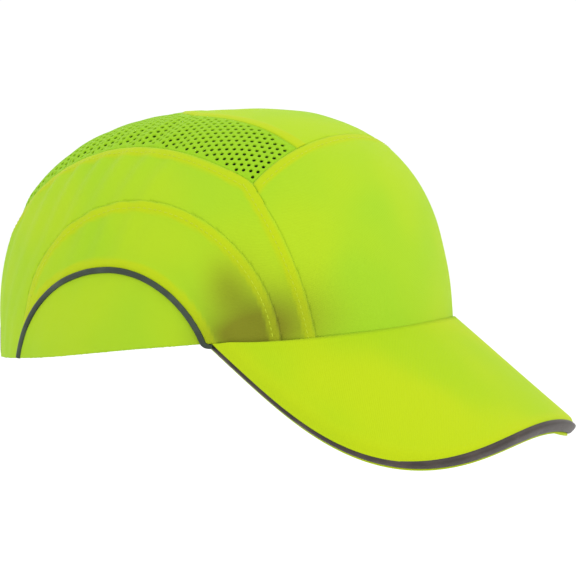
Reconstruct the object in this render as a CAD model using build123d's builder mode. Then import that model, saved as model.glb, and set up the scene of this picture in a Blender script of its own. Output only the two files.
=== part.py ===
from build123d import *
import os
from math import acos, asin, cos, degrees, pi, radians, sin, sqrt, tan

# Bump cap: a textile cap over a moulded shell, with foam pads, a stiff peak and a wheel adjuster
# at the nape. Millimetres, as worn: +Z up, the peak points to -Y, the wearer's left is +X, and
# the origin is the middle of the head opening.

# ---- crown, outside of the textile ----
crown_half_width = 89.87
crown_front = 104.72
crown_back = 114.05
crown_height = 102.4
width_power = 0.67
front_power = 0.685
back_power = 0.85
height_power = 0.853
skirt_depth = 16.0
crown_angles = [9, 18, 27, 36, 45, 54, 62, 70, 77, 84]

# ---- rim: a plane that drops towards the nape ----
rim_height = 1.06
rim_slope = 0.082

# ---- layers, counted inwards from the outside of the textile ----
textile_thickness = 1.6
layer_gap = 0.3
shell_thickness = 2.0
pad_thickness = 5.0
sweatband_thickness = 3.0
sweatband_height = 30.0
sweatband_end = 40.0
tape_thickness = 0.8
tape_height = 3.6
shell_above_rim = 4.2

# ---- peak: a bent sandwich of cover, board and cover inside an edge piping ----
peak_radius = 103.1
peak_slope = 36.87
peak_root_height = 8.2
peak_half_width = 80.77
peak_length = 116.3
peak_outline_power = 3.845
peak_start = -48.2
peak_cover_thickness = 1.0
peak_board_thickness = 2.0
peak_layer_gap = 0.1
peak_piping_width = 2.5
peak_piping_lip = 0.3
peak_seat_gap = 0.25

# ---- seams: circles seen from the side, given by their middle and radius ----
front_seam_y = 38.0
front_seam_z = -8.0
front_seam_radius = 120.4
top_seam_y = (crown_back - crown_front) / 2 - 0.065
top_seam_z = -26.0
top_seam_radius = (crown_back + crown_front) / 2 + 3.115
middle_seam_y = -7.0
middle_seam_z = 0.0
middle_seam_radius = 64.0
front_top_seam_y = -66.0
front_top_seam_bow = 12.2
front_top_seam_half = 59.0
tongue_half_width = 36.5
tongue_straight_end = -15.0
tongue_round_length = 30.0
ear_arch_y = 1.0
ear_arch_top = 35.0
ear_arch_rear_radius = 66.0
ear_arch_front_radius = 46.0
ear_piping_width = 2.7
ear_piping_lip = 0.8

# ---- rear arch above the adjuster ----
arch_half_width = 41.0
arch_height = 46.0
arch_binding_width = 3.0
arch_binding_lip = 0.6

# ---- shell vents ----
vent_width = 6.0
vent_length = 26.0
vent_pitch = 15.0
top_vent_count = 5
side_vent_count = 4
side_vent_y = -4.0
side_vent_z = 46.0

# ---- adjuster: two toothed straps on one circle round the nape, and a pinion between them ----
strap_radius = 64.0
strap_thickness = 2.0
strap_inset = 8.0
adjuster_z = 5.0
tooth_count = 10
tooth_module = 1.2
tooth_addendum = 0.9
tooth_dedendum = 1.2
tooth_thickness = 1.3
tooth_pressure_angle = 25.0
rail_height = 4.3
rail_tip_angle = 17.6
rail_end_angle = 45.0
strap_end_angle = 66.0
strap_gap = 0.3
base_thickness = 3.2
cover_thickness = 2.6
housing_half_angle = 28.0
housing_wall = 2.2
pinion_pocket_gap = 0.8
pinion_hub_radius = 4.0
pinion_stub_radius = 2.4
pinion_stub_length = 1.6
shaft_clearance = 0.06
knob_radius = 14.5
knob_height = 8.0
knob_wall = 2.0
knob_gap = 0.6
knob_lobes = 12
grip_thickness = 1.6
grip_groove_depth = 1.0
click_teeth = 24
click_ring_radius = 11.4
click_ring_wall = 1.2
click_ring_height = 2.2
click_tooth_depth = 0.7
click_spring_thickness = 1.2
click_spring_width = 1.4
click_gap = 0.3
click_seat_step = 0.25
housing_screw_angle = 20.0
housing_boss_wall = 1.4
housing_screw_radius = 1.3
housing_screw_head_radius = 2.4
housing_screw_head_height = 1.4
knob_screw_radius = 1.5
knob_screw_head_radius = 3.0
knob_screw_head_height = 1.6
nape_pad_thickness = 4.0
nape_pad_half_angle = 30.0
nape_pad_margin = 2.0

# ---- what ties the adjuster to the shell ----
keeper_angle = 46.5
keeper_half_angle = 2.6
keeper_wall = 1.8
hanger_width = 12.0
hanger_thickness = 1.5
hanger_top = 54.0
rivet_radius = 1.6
rivet_head_radius = 3.2
rivet_head_height = 0.8
rivet_gap = 0.05

# ---- pads ----
crown_pad_half_width = 36.0
crown_pad_half_length = 48.0
crown_pad_slot_width = 8.0
crown_pad_slot_length = 40.0
front_pad_half_width = 34.0
front_pad_bottom = 44.0
front_pad_top = 70.0
side_pad_middle_y = 4.0
side_pad_half_length = 36.0
side_pad_bottom = 40.0
side_pad_top = 66.0
rear_pad_inner_x = 12.0
rear_pad_outer_x = 46.0
rear_pad_bottom = 56.0
rear_pad_top = 76.0
pad_corner = 8.0

# ---- worked out from the values above ----
shell_outside = textile_thickness + layer_gap
shell_inside = shell_outside + shell_thickness
pad_outside = shell_inside + layer_gap
pad_inside = pad_outside + pad_thickness
peak_total = 2 * peak_cover_thickness + peak_board_thickness + 2 * peak_layer_gap
reach = 1.4 * (crown_front + crown_back)
strap_middle_y = crown_back - strap_inset - strap_radius
strap_outer = strap_radius + strap_thickness / 2
strap_inner = strap_radius - strap_thickness / 2
channel_outer = strap_outer + strap_gap
channel_inner = strap_inner - strap_gap
base_inner = channel_inner - base_thickness
cover_outer = channel_outer + cover_thickness
pitch_radius = tooth_count * tooth_module / 2
tooth_pitch = pi * tooth_module
tip_radius = pitch_radius + tooth_addendum
root_radius = pitch_radius - tooth_dedendum
rail_inner_z = pitch_radius + tooth_dedendum
rail_outer_z = rail_inner_z + rail_height
housing_half_height = rail_outer_z + strap_gap + housing_wall
pocket_radius = tip_radius + pinion_pocket_gap
pocket_sag = strap_radius - sqrt(strap_radius**2 - pocket_radius**2)
cover_face_y = strap_middle_y + cover_outer
knob_face_y = cover_face_y + knob_gap
pinion_back_y = strap_middle_y + channel_outer + 0.4
pinion_front_y = strap_middle_y + strap_inner - pocket_sag
os.makedirs("parts", exist_ok=True)


def save(piece, node):
    """Labels one finished piece and writes its file."""
    piece.label = node
    export_step(piece, f"parts/{node}.step")


def crown_size(inset):
    """Half width, front, back and height of the crown surface moved inwards by inset."""
    half_width = crown_half_width - inset
    return half_width, crown_front - inset, crown_back - inset, crown_height - inset


def crown_section(inset, angle):
    """Half width, front, back and height of one level of the crown, angle degrees up its curve."""
    half_width, front, back, height = crown_size(inset)
    c = cos(radians(angle))
    z = height * sin(radians(angle)) ** height_power
    return half_width * c**width_power, front * c**front_power, back * c**back_power, z


def crown_angle(inset, z):
    """The angle of the level at height z."""
    share = min(max(z / crown_size(inset)[3], 0), 1)
    return degrees(asin(share ** (1 / height_power)))


def rear_y(inset, z):
    """How far back the crown surface reaches at height z."""
    return crown_section(inset, crown_angle(inset, z))[2]


def dome(inset):
    """The closed body inside the crown surface moved inwards by inset."""
    levels = [crown_section(inset, angle) for angle in crown_angles]
    base = crown_section(inset, 0)[:3]
    straight = [base + (z,) for z in (-skirt_depth, -skirt_depth / 2, 0)]
    with BuildPart() as body:
        for half_width, front, back, z in straight + levels:
            with BuildSketch(Plane.XY.offset(z)):
                with Locations((0, (back - front) / 2)):
                    Ellipse(half_width, (back + front) / 2)
        loft()
    return body.part


def below_rim(raised):
    """Everything below the rim plane, which is raised by the given amount."""
    with BuildPart() as block:
        with BuildSketch(Plane.YZ):
            with BuildLine():
                near = (-reach, rim_height + raised + rim_slope * reach)
                far = (reach, rim_height + raised - rim_slope * reach)
                Polyline(near, far, (reach, -reach), (-reach, -reach), close=True)
            make_face()
        extrude(amount=reach, both=True)
    return block.part


def layer(outside, inside, raised):
    """A curved layer of the crown between two insets, from the rim plane up."""
    with BuildPart() as skin:
        add(dome(outside))
        add(dome(inside), mode=Mode.SUBTRACT)
        add(below_rim(raised), mode=Mode.SUBTRACT)
    return skin.part


def side_disc(y, z, radius):
    """A round bar along X, which marks a seam seen from the side."""
    with BuildPart() as bar:
        with BuildSketch(Plane.YZ):
            with Locations((y, z)):
                Circle(radius)
        extrude(amount=reach, both=True)
    return bar.part


def half_space(side):
    """Everything on one side of the cap: +1 is the wearer's left, -1 the right."""
    with BuildPart() as half:
        with BuildSketch(Plane.XZ):
            with Locations((side * reach / 2, 0)):
                Rectangle(reach, 2 * reach)
        extrude(amount=reach, both=True)
    return half.part


# ---------------------------------------------------------------- regions of the textile
def peak_frame(normal):
    """The peak's plane at its root, facing along the peak or square to it."""
    slope = radians(peak_slope)
    down = (0, -cos(slope), -sin(slope))
    up = (0, -sin(slope), cos(slope))
    facing = up if normal else down
    return Plane(origin=(0, -crown_front, peak_root_height), x_dir=(1, 0, 0), z_dir=facing)


def peak_bar(depth):
    """The round bar whose top is the peak's upper surface lowered by depth."""
    with BuildPart() as bar:
        with BuildSketch(peak_frame(False).offset(peak_start - crown_back)):
            with Locations((0, -peak_radius)):
                Circle(peak_radius - depth)
        extrude(amount=peak_length + crown_back - peak_start)
    return bar.part


def textile_layer():
    """The whole outer skin, which runs down to the rim and, in front, behind the peak's root."""
    with BuildPart() as low:
        add(below_rim(0))
        add(peak_bar(peak_total + peak_layer_gap), mode=Mode.INTERSECT)
    with BuildPart() as skin:
        add(dome(0))
        add(dome(textile_thickness), mode=Mode.SUBTRACT)
        add(low.part, mode=Mode.SUBTRACT)
    return skin.part


def front_region():
    """In front of the front panel's side seams and its bowed top seam."""
    corner_y = front_top_seam_y + front_top_seam_bow
    with BuildPart() as region:
        with BuildSketch(Plane.XY.offset(-reach)):
            with BuildLine():
                left = (front_top_seam_half, corner_y)
                right = (-front_top_seam_half, corner_y)
                ThreePointArc(left, (0, front_top_seam_y), right)
                far = -reach
                Polyline(right, (-reach, corner_y), (-reach, far), (reach, far), (reach, corner_y), left)
            make_face()
        extrude(amount=2 * reach)
        add(side_disc(front_seam_y, front_seam_z, front_seam_radius), mode=Mode.SUBTRACT)
    return region.part


def tongue_region():
    """The plain patch in the middle of the crown, seen from above."""
    with BuildPart() as region:
        with BuildSketch(Plane.XY.offset(crown_height / 2)):
            with Locations((0, tongue_straight_end)):
                Ellipse(tongue_half_width, tongue_round_length)
            with Locations((0, tongue_straight_end - crown_front / 2)):
                Rectangle(2 * tongue_half_width, crown_front)
        extrude(amount=crown_height)
    return region.part


def ear_region(growth):
    """Inside the arch over the ear, seen from the side and grown by growth."""
    with BuildPart() as region:
        with BuildSketch(Plane.YZ):
            with BuildLine():
                rear_middle = (ear_arch_y, ear_arch_top - ear_arch_rear_radius)
                front_middle = (ear_arch_y, ear_arch_top - ear_arch_front_radius)
                rear = CenterArc(rear_middle, ear_arch_rear_radius + growth, -20, 110)
                front = CenterArc(front_middle, ear_arch_front_radius + growth, 90, 100)
                Line(front @ 1, rear @ 0)
            make_face()
        extrude(amount=reach, both=True)
    return region.part


def arch_region(growth):
    """The opening at the nape, seen from behind and grown by growth."""
    foot = rim_height - rim_slope * crown_back
    with BuildPart() as region:
        with BuildSketch(Plane.XZ):
            with Locations((0, foot)):
                Ellipse(arch_half_width + growth, arch_height + growth)
        extrude(amount=-reach)
    return region.part


skin = textile_layer()
front_zone = front_region()
top_disc = side_disc(top_seam_y, top_seam_z, top_seam_radius)
middle_disc = side_disc(middle_seam_y, middle_seam_z, middle_seam_radius)
tongue_zone = tongue_region()
ear_inside = ear_region(-ear_piping_width / 2)
ear_outside = ear_region(ear_piping_width / 2)
arch_cut = arch_region(arch_binding_width)

# ---------------------------------------------------------------- textile panels
with BuildPart() as front_panel:
    add(skin)
    add(front_zone, mode=Mode.INTERSECT)
save(front_panel.part, "front_panel")

with BuildPart() as crown_tongue:
    add(skin)
    add(tongue_zone, mode=Mode.INTERSECT)
    add(front_zone, mode=Mode.SUBTRACT)
save(crown_tongue.part, "crown_tongue")

with BuildPart() as mesh_crown:
    add(skin)
    for taken in (top_disc, front_zone, tongue_zone, arch_cut):
        add(taken, mode=Mode.SUBTRACT)
save(mesh_crown.part, "mesh_crown")

with BuildPart() as side_skin:
    add(skin)
    add(top_disc, mode=Mode.INTERSECT)
    for taken in (front_zone, arch_cut):
        add(taken, mode=Mode.SUBTRACT)

for side, word in ((-1, "right"), (1, "left")):
    with BuildPart() as half_skin:
        add(side_skin.part)
        add(half_space(side), mode=Mode.INTERSECT)
    with BuildPart() as upper_side_panel:
        add(half_skin.part)
        add(middle_disc, mode=Mode.SUBTRACT)
        add(ear_outside, mode=Mode.SUBTRACT)
    save(upper_side_panel.part, f"upper_side_panel_{word}")
    with BuildPart() as middle_side_panel:
        add(half_skin.part)
        add(middle_disc, mode=Mode.INTERSECT)
        add(ear_outside, mode=Mode.SUBTRACT)
    save(middle_side_panel.part, f"middle_side_panel_{word}")
    with BuildPart() as ear_panel:
        add(half_skin.part)
        add(ear_inside, mode=Mode.INTERSECT)
    save(ear_panel.part, f"ear_panel_{word}")
    with BuildPart() as ear_piping:
        add(layer(-ear_piping_lip, textile_thickness, 0))
        add(half_space(side), mode=Mode.INTERSECT)
        add(ear_outside, mode=Mode.INTERSECT)
        add(ear_inside, mode=Mode.SUBTRACT)
    save(ear_piping.part, f"ear_piping_{word}")

with BuildPart() as rear_arch_binding:
    add(layer(-arch_binding_lip, textile_thickness, 0))
    add(arch_cut, mode=Mode.INTERSECT)
    add(arch_region(0), mode=Mode.SUBTRACT)
save(rear_arch_binding.part, "rear_arch_binding")

with BuildPart() as rim_tape:
    add(layer(shell_outside, shell_outside + tape_thickness, 0))
    add(below_rim(tape_height), mode=Mode.INTERSECT)
    add(arch_cut, mode=Mode.SUBTRACT)
save(rim_tape.part, "rim_tape")


# ---------------------------------------------------------------- peak
def peak_outline(margin):
    """The peak seen square to its root, with its edge moved inwards by margin."""
    power = 2 / peak_outline_power
    half_width = peak_half_width - margin
    length = peak_length - margin
    edge = []
    for step in range(25):
        turn = pi * step / 24
        across = half_width * abs(cos(turn)) ** power * (1 if turn < pi / 2 else -1)
        along = peak_start + length * sin(turn) ** power
        edge.append((across, -along))
    with BuildPart() as region:
        with BuildSketch(peak_frame(True).offset(-peak_radius)):
            with BuildLine():
                Spline(*edge)
                Line(edge[-1], edge[0])
            make_face()
        extrude(amount=2 * peak_radius)
    return region.part


def peak_layer(top, bottom, margin):
    """One layer of the peak between two depths, trimmed to the outline and to the crown."""
    with BuildPart() as sheet:
        add(peak_bar(top))
        add(peak_bar(bottom), mode=Mode.SUBTRACT)
        add(peak_outline(margin), mode=Mode.INTERSECT)
        add(crown_seat, mode=Mode.SUBTRACT)
    return sheet.part


crown_seat = dome(-peak_seat_gap)
cover_bottom = peak_cover_thickness
board_top = cover_bottom + peak_layer_gap
board_bottom = board_top + peak_board_thickness
under_top = board_bottom + peak_layer_gap
inside_piping = peak_piping_width + peak_layer_gap
save(peak_layer(0, cover_bottom, inside_piping), "peak_top_cover")
save(peak_layer(board_top, board_bottom, inside_piping), "peak_board")
save(peak_layer(under_top, peak_total, inside_piping), "peak_under_cover")

with BuildPart() as peak_piping:
    add(peak_layer(-peak_piping_lip, peak_total + peak_piping_lip, 0))
    add(peak_outline(peak_piping_width), mode=Mode.SUBTRACT)
save(peak_piping.part, "peak_piping")

# ---------------------------------------------------------------- protective shell
shell_arch = arch_region(arch_binding_width + layer_gap)


def rivet_plane(angle):
    """Square to the strap's circle at an angle round from the nape, facing outwards."""
    outward = (sin(radians(angle)), cos(radians(angle)), 0)
    across = (-cos(radians(angle)), sin(radians(angle)), 0)
    return Plane(origin=(0, strap_middle_y, adjuster_z), x_dir=across, z_dir=outward)


def shell_reach(angle, inset):
    """How far the crown surface at the rim lies from the middle of the strap's circle."""
    half_width, front, back, _ = crown_section(inset, 0)
    middle = (back - front) / 2
    long_half = (back + front) / 2
    x = sin(radians(angle))
    y = cos(radians(angle))
    a = (x / half_width) ** 2 + (y / long_half) ** 2
    b = (strap_middle_y - middle) * y / long_half**2
    c = ((strap_middle_y - middle) / long_half) ** 2 - 1
    return (-b + sqrt(b * b - a * c)) / a


hanger_rivet_z = hanger_top - 5
keeper_rivet_z = adjuster_z + rail_outer_z + 5

with BuildPart() as shell:
    add(layer(shell_outside, shell_inside, shell_above_rim))
    add(shell_arch, mode=Mode.SUBTRACT)
    with BuildSketch(Plane.XY.offset(crown_height / 2)):
        with GridLocations(vent_pitch, 1, top_vent_count, 1):
            SlotOverall(vent_length, vent_width, rotation=90)
    extrude(amount=crown_height, mode=Mode.SUBTRACT)
    with BuildSketch(Plane.YZ):
        with Locations((side_vent_y, side_vent_z)):
            with GridLocations(vent_pitch, 1, side_vent_count, 1):
                SlotOverall(vent_length, vent_width, rotation=90)
    extrude(amount=reach, both=True, mode=Mode.SUBTRACT)
    with BuildSketch(Plane.XZ):
        with Locations((0, hanger_rivet_z)):
            Circle(rivet_radius + rivet_gap)
    extrude(amount=-reach, mode=Mode.SUBTRACT)
    for angle in (-keeper_angle, keeper_angle):
        with BuildSketch(rivet_plane(angle)):
            with Locations((0, keeper_rivet_z - adjuster_z)):
                Circle(rivet_radius + rivet_gap)
        extrude(amount=reach, mode=Mode.SUBTRACT)
save(shell.part, "shell")

# ---------------------------------------------------------------- sweatband and pads
with BuildPart() as sweatband:
    add(layer(pad_outside, pad_outside + sweatband_thickness, 0.5))
    add(below_rim(sweatband_height), mode=Mode.INTERSECT)
    with BuildSketch(Plane.XY.offset(-reach)):
        with Locations((0, sweatband_end - reach / 2)):
            Rectangle(2 * reach, reach)
    extrude(amount=2 * reach, mode=Mode.INTERSECT)
save(sweatband.part, "sweatband")

pad_skin = layer(pad_outside, pad_inside, 0)

with BuildPart() as crown_pad:
    add(pad_skin)
    with BuildSketch(Plane.XY.offset(crown_height / 2)):
        RectangleRounded(2 * crown_pad_half_width, 2 * crown_pad_half_length, 3 * pad_corner)
        with PolarLocations(crown_pad_slot_length / 2, 4, start_angle=45):
            SlotOverall(crown_pad_slot_length / 2, crown_pad_slot_width, mode=Mode.SUBTRACT)
    extrude(amount=crown_height, mode=Mode.INTERSECT)
save(crown_pad.part, "crown_pad")


def wall_pad(plane, low, high, direction):
    """A rounded pad cut out of the pad layer by its outline on a wall plane."""
    with BuildPart() as pad:
        add(pad_skin)
        with BuildSketch(plane):
            with Locations(((low[0] + high[0]) / 2, (low[1] + high[1]) / 2)):
                RectangleRounded(high[0] - low[0], high[1] - low[1], pad_corner)
        extrude(amount=direction * reach, mode=Mode.INTERSECT)
    return pad.part


front_low = (-front_pad_half_width, front_pad_bottom)
front_high = (front_pad_half_width, front_pad_top)
save(wall_pad(Plane.XZ, front_low, front_high, 1), "front_pad")
side_low = (side_pad_middle_y - side_pad_half_length, side_pad_bottom)
side_high = (side_pad_middle_y + side_pad_half_length, side_pad_top)
save(wall_pad(Plane.YZ, side_low, side_high, -1), "side_pad_right")
save(wall_pad(Plane.YZ, side_low, side_high, 1), "side_pad_left")
rear_right_low = (-rear_pad_outer_x, rear_pad_bottom)
rear_right_high = (-rear_pad_inner_x, rear_pad_top)
save(wall_pad(Plane.XZ, rear_right_low, rear_right_high, -1), "rear_pad_right")
rear_left_low = (rear_pad_inner_x, rear_pad_bottom)
rear_left_high = (rear_pad_outer_x, rear_pad_top)
save(wall_pad(Plane.XZ, rear_left_low, rear_left_high, -1), "rear_pad_left")


# ---------------------------------------------------------------- adjuster
def ring_sector(inner, outer, low, high, start, end):
    """Part of a flat-topped ring round the strap's middle, angles counted from the nape."""
    with BuildPart() as piece:
        with BuildSketch(Plane.XY.offset(adjuster_z + low)):
            with Locations((0, strap_middle_y)):
                Circle(outer)
                Circle(inner, mode=Mode.SUBTRACT)
            with BuildLine():
                middle = (0, strap_middle_y)
                far = 2 * outer
                points = [middle]
                for share in (0, 0.5, 1):
                    angle = radians(start + share * (end - start))
                    points.append((far * sin(angle), strap_middle_y + far * cos(angle)))
                Polyline(*points, close=True)
            make_face(mode=Mode.INTERSECT)
        extrude(amount=high - low)
    return piece.part


def rack_angles():
    """Where the strap's teeth stand, in degrees from the nape, with a gap at the pinion."""
    step = degrees(tooth_pitch / strap_radius)
    first = -rail_tip_angle + step / 4
    count = int(2 * rail_tip_angle / step)
    shift = (0.5 - first / step) % 1
    return [first + (shift + i) * step for i in range(count)]


def strap(side):
    """One toothed strap. The left one carries its rail above the pinion, the right one below."""
    up = 1 if side > 0 else -1
    rail = sorted((up * rail_inner_z, up * rail_outer_z))
    tip = -side * rail_tip_angle
    root = side * rail_end_angle
    end = side * strap_end_angle
    half = tooth_thickness / 2
    slant = tan(radians(tooth_pressure_angle))
    with BuildPart() as piece:
        add(ring_sector(strap_inner, strap_outer, rail[0], rail[1], min(tip, root), max(tip, root)))
        low = -rail_outer_z
        add(ring_sector(strap_inner, strap_outer, low, rail_outer_z, min(root, end), max(root, end)))
        for angle in rack_angles():
            with BuildSketch(rivet_plane(side * angle).offset(strap_inner + strap_gap / 2)):
                with BuildLine():
                    tooth_root = up * rail_inner_z
                    tooth_tip = up * (pitch_radius - tooth_addendum)
                    wide = half + tooth_dedendum * slant
                    narrow = half - tooth_addendum * slant
                    deep = up * (rail_inner_z + rail_height / 4)
                    Polyline(
                        (-wide, deep),
                        (-wide, tooth_root),
                        (-narrow, tooth_tip),
                        (narrow, tooth_tip),
                        (wide, tooth_root),
                        (wide, deep),
                        close=True,
                    )
                make_face()
            extrude(amount=strap_thickness - strap_gap)
    return piece.part


save(strap(1), "strap_left")
save(strap(-1), "strap_right")

# The pinion: ten short teeth, a hub through the cover and a stub in the base.
axle = Plane(origin=(0, pinion_front_y, adjuster_z), x_dir=(-1, 0, 0), z_dir=(0, 1, 0))
hub_end_y = knob_face_y + knob_height - knob_wall - knob_screw_head_height
with BuildPart() as adjuster_pinion:
    with BuildSketch(axle):
        Circle(root_radius)
        half = tooth_thickness / 2
        slant = tan(radians(tooth_pressure_angle))
        wide = half + tooth_dedendum * slant
        narrow = half - tooth_addendum * slant
        low_x = root_radius * 0.9
        points = [(low_x, -wide), (root_radius, -wide), (tip_radius, -narrow)]
        points += [(tip_radius, narrow), (root_radius, wide), (low_x, wide)]
        with PolarLocations(0, tooth_count, start_angle=90):
            Polygon(*points, align=None)
    extrude(amount=pinion_back_y - pinion_front_y)
    with BuildSketch(axle):
        Circle(pinion_stub_radius)
    extrude(amount=-pinion_stub_length)
    with BuildSketch(axle):
        Circle(pinion_hub_radius)
    extrude(amount=hub_end_y - pinion_front_y)
    with BuildSketch(axle.offset(hub_end_y - pinion_front_y)):
        Circle(knob_screw_radius)
    extrude(amount=-(hub_end_y - pinion_back_y), mode=Mode.SUBTRACT)
save(adjuster_pinion.part, "adjuster_pinion")


housing_screw_planes = [rivet_plane(angle) for angle in (-housing_screw_angle, housing_screw_angle)]
housing_low = -housing_half_height
housing_high = housing_half_height
channel_half = rail_outer_z + strap_gap
screw_start = base_inner + 1
screw_seat = cover_outer - housing_screw_head_height

# Housing base: the curved plate on the head's side, with a blind seat for the pinion's stub.
with BuildPart() as adjuster_base:
    span = housing_half_angle
    add(ring_sector(base_inner, channel_inner, housing_low, housing_high, -span, span))
    with BuildSketch(axle.offset(-strap_gap)):
        Circle(pocket_radius)
    extrude(amount=reach, mode=Mode.SUBTRACT)
    with BuildSketch(axle.offset(-pinion_stub_length - strap_gap)):
        Circle(pinion_stub_radius + shaft_clearance)
    extrude(amount=reach, mode=Mode.SUBTRACT)
    for plane in housing_screw_planes:
        with BuildSketch(plane.offset(screw_start)):
            Circle(housing_screw_radius)
        extrude(amount=base_thickness, mode=Mode.SUBTRACT)
save(adjuster_base.part, "adjuster_base")

# Housing cover: carries the strap channel, the hub's bearing and the ring of click teeth.
click_inner = click_ring_radius - click_ring_wall
with BuildPart() as adjuster_cover:
    add(ring_sector(channel_inner, cover_outer, housing_low, housing_high, -span, span))
    channel = ring_sector(channel_inner, channel_outer, -channel_half, channel_half, -span - 1, span + 1)
    add(channel, mode=Mode.SUBTRACT)
    for plane in housing_screw_planes:
        with BuildSketch(plane.offset(channel_inner)):
            Circle(housing_screw_radius + housing_boss_wall)
        extrude(amount=cover_outer - channel_inner - cover_thickness / 2)
    with BuildSketch(axle):
        Circle(pocket_radius)
    extrude(amount=pinion_back_y + strap_gap - pinion_front_y, mode=Mode.SUBTRACT)
    click_seat = axle.offset(cover_face_y + click_seat_step - pinion_front_y)
    with BuildSketch(click_seat):
        Circle(click_ring_radius)
    extrude(amount=-(cover_thickness / 2 + click_seat_step))
    with BuildSketch(click_seat):
        Circle(click_ring_radius)
        Circle(click_inner, mode=Mode.SUBTRACT)
        with PolarLocations(click_inner, click_teeth):
            Rectangle(2 * click_tooth_depth, click_tooth_depth)
    extrude(amount=click_ring_height)
    with BuildSketch(axle):
        Circle(pinion_hub_radius + shaft_clearance)
    extrude(amount=reach, mode=Mode.SUBTRACT)
    for plane in housing_screw_planes:
        with BuildSketch(plane.offset(channel_inner - 1)):
            Circle(housing_screw_radius)
        extrude(amount=reach, mode=Mode.SUBTRACT)
        with BuildSketch(plane.offset(screw_seat)):
            Circle(housing_screw_head_radius + rivet_gap)
        extrude(amount=reach, mode=Mode.SUBTRACT)
save(adjuster_cover.part, "adjuster_cover")

with BuildPart() as housing_screws:
    for plane in housing_screw_planes:
        with BuildSketch(plane.offset(screw_start)):
            Circle(housing_screw_radius)
        extrude(amount=screw_seat - screw_start)
        with BuildSketch(plane.offset(screw_seat)):
            Circle(housing_screw_head_radius)
        extrude(amount=housing_screw_head_height - 0.2)
save(housing_screws.part, "housing_screws")

# Knob: a lobed cup over the click ring, with a rubber grip in the groove round it.
knob_base = axle.offset(knob_face_y - pinion_front_y)
grip_low = knob_height * 0.25
grip_inner = knob_radius - grip_groove_depth
with BuildPart() as adjuster_knob:
    with BuildSketch(knob_base):
        Circle(knob_radius)
    extrude(amount=knob_height)
    top_edge = adjuster_knob.edges().filter_by(GeomType.CIRCLE).sort_by(Axis.Y)[-1]
    fillet(top_edge, radius=knob_wall / 2)
    with BuildSketch(knob_base):
        Circle(knob_radius - knob_wall)
        Circle(pinion_hub_radius + knob_wall, mode=Mode.SUBTRACT)
    extrude(amount=knob_height - knob_wall, mode=Mode.SUBTRACT)
    with BuildSketch(knob_base):
        Circle(pinion_hub_radius)
    extrude(amount=hub_end_y - knob_face_y, mode=Mode.SUBTRACT)
    with BuildSketch(knob_base):
        Circle(knob_screw_radius + rivet_gap)
    extrude(amount=knob_height, mode=Mode.SUBTRACT)
    with BuildSketch(knob_base.offset(knob_height)):
        Circle(knob_screw_head_radius + rivet_gap)
    extrude(amount=-knob_screw_head_height, mode=Mode.SUBTRACT)
    with BuildSketch(knob_base.offset(grip_low)):
        Circle(knob_radius + 1)
        Circle(grip_inner, mode=Mode.SUBTRACT)
    extrude(amount=knob_height / 2, mode=Mode.SUBTRACT)
save(adjuster_knob.part, "adjuster_knob")

with BuildPart() as knob_grip:
    with BuildSketch(knob_base.offset(grip_low)):
        Circle(grip_inner + grip_thickness)
        Circle(grip_inner, mode=Mode.SUBTRACT)
        with PolarLocations(grip_inner + grip_thickness + 0.6, knob_lobes):
            Circle(1.5, mode=Mode.SUBTRACT)
    extrude(amount=knob_height / 2)
save(knob_grip.part, "knob_grip")

knob_screw_seat = knob_base.offset(knob_height - knob_screw_head_height)
with BuildPart() as knob_screw:
    with BuildSketch(knob_screw_seat):
        Circle(knob_screw_head_radius)
    extrude(amount=knob_screw_head_height - 0.2)
    with BuildSketch(knob_screw_seat):
        Circle(knob_screw_radius)
    extrude(amount=-(knob_height - knob_wall))
save(knob_screw.part, "knob_screw")

# Click spring: a ring round the knob's boss with two bowed arms that end just short of the teeth.
spring_inner = pinion_hub_radius + knob_wall + rivet_gap
spring_outer = spring_inner + click_spring_width
arm_tip = click_inner - click_tooth_depth - click_gap
with BuildPart() as click_spring:
    with BuildSketch(knob_base.offset(layer_gap)):
        Circle(spring_outer)
        shoulder = (spring_outer * 0.5, -spring_outer * 0.7)
        arm = [shoulder, (arm_tip, -1.0), (arm_tip, 0.6), (spring_outer * 0.9, 0.6)]
        with PolarLocations(0, 2):
            Polygon(*arm, align=None)
        Circle(spring_inner, mode=Mode.SUBTRACT)
    extrude(amount=click_spring_thickness)
save(click_spring.part, "click_spring")

pad_span = nape_pad_half_angle
pad_low = -housing_half_height - nape_pad_margin
pad_high = housing_half_height + nape_pad_margin
pad_face = base_inner - layer_gap
nape_pad = ring_sector(pad_face - nape_pad_thickness, pad_face, pad_low, pad_high, -pad_span, pad_span)
save(nape_pad, "nape_pad")


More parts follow.
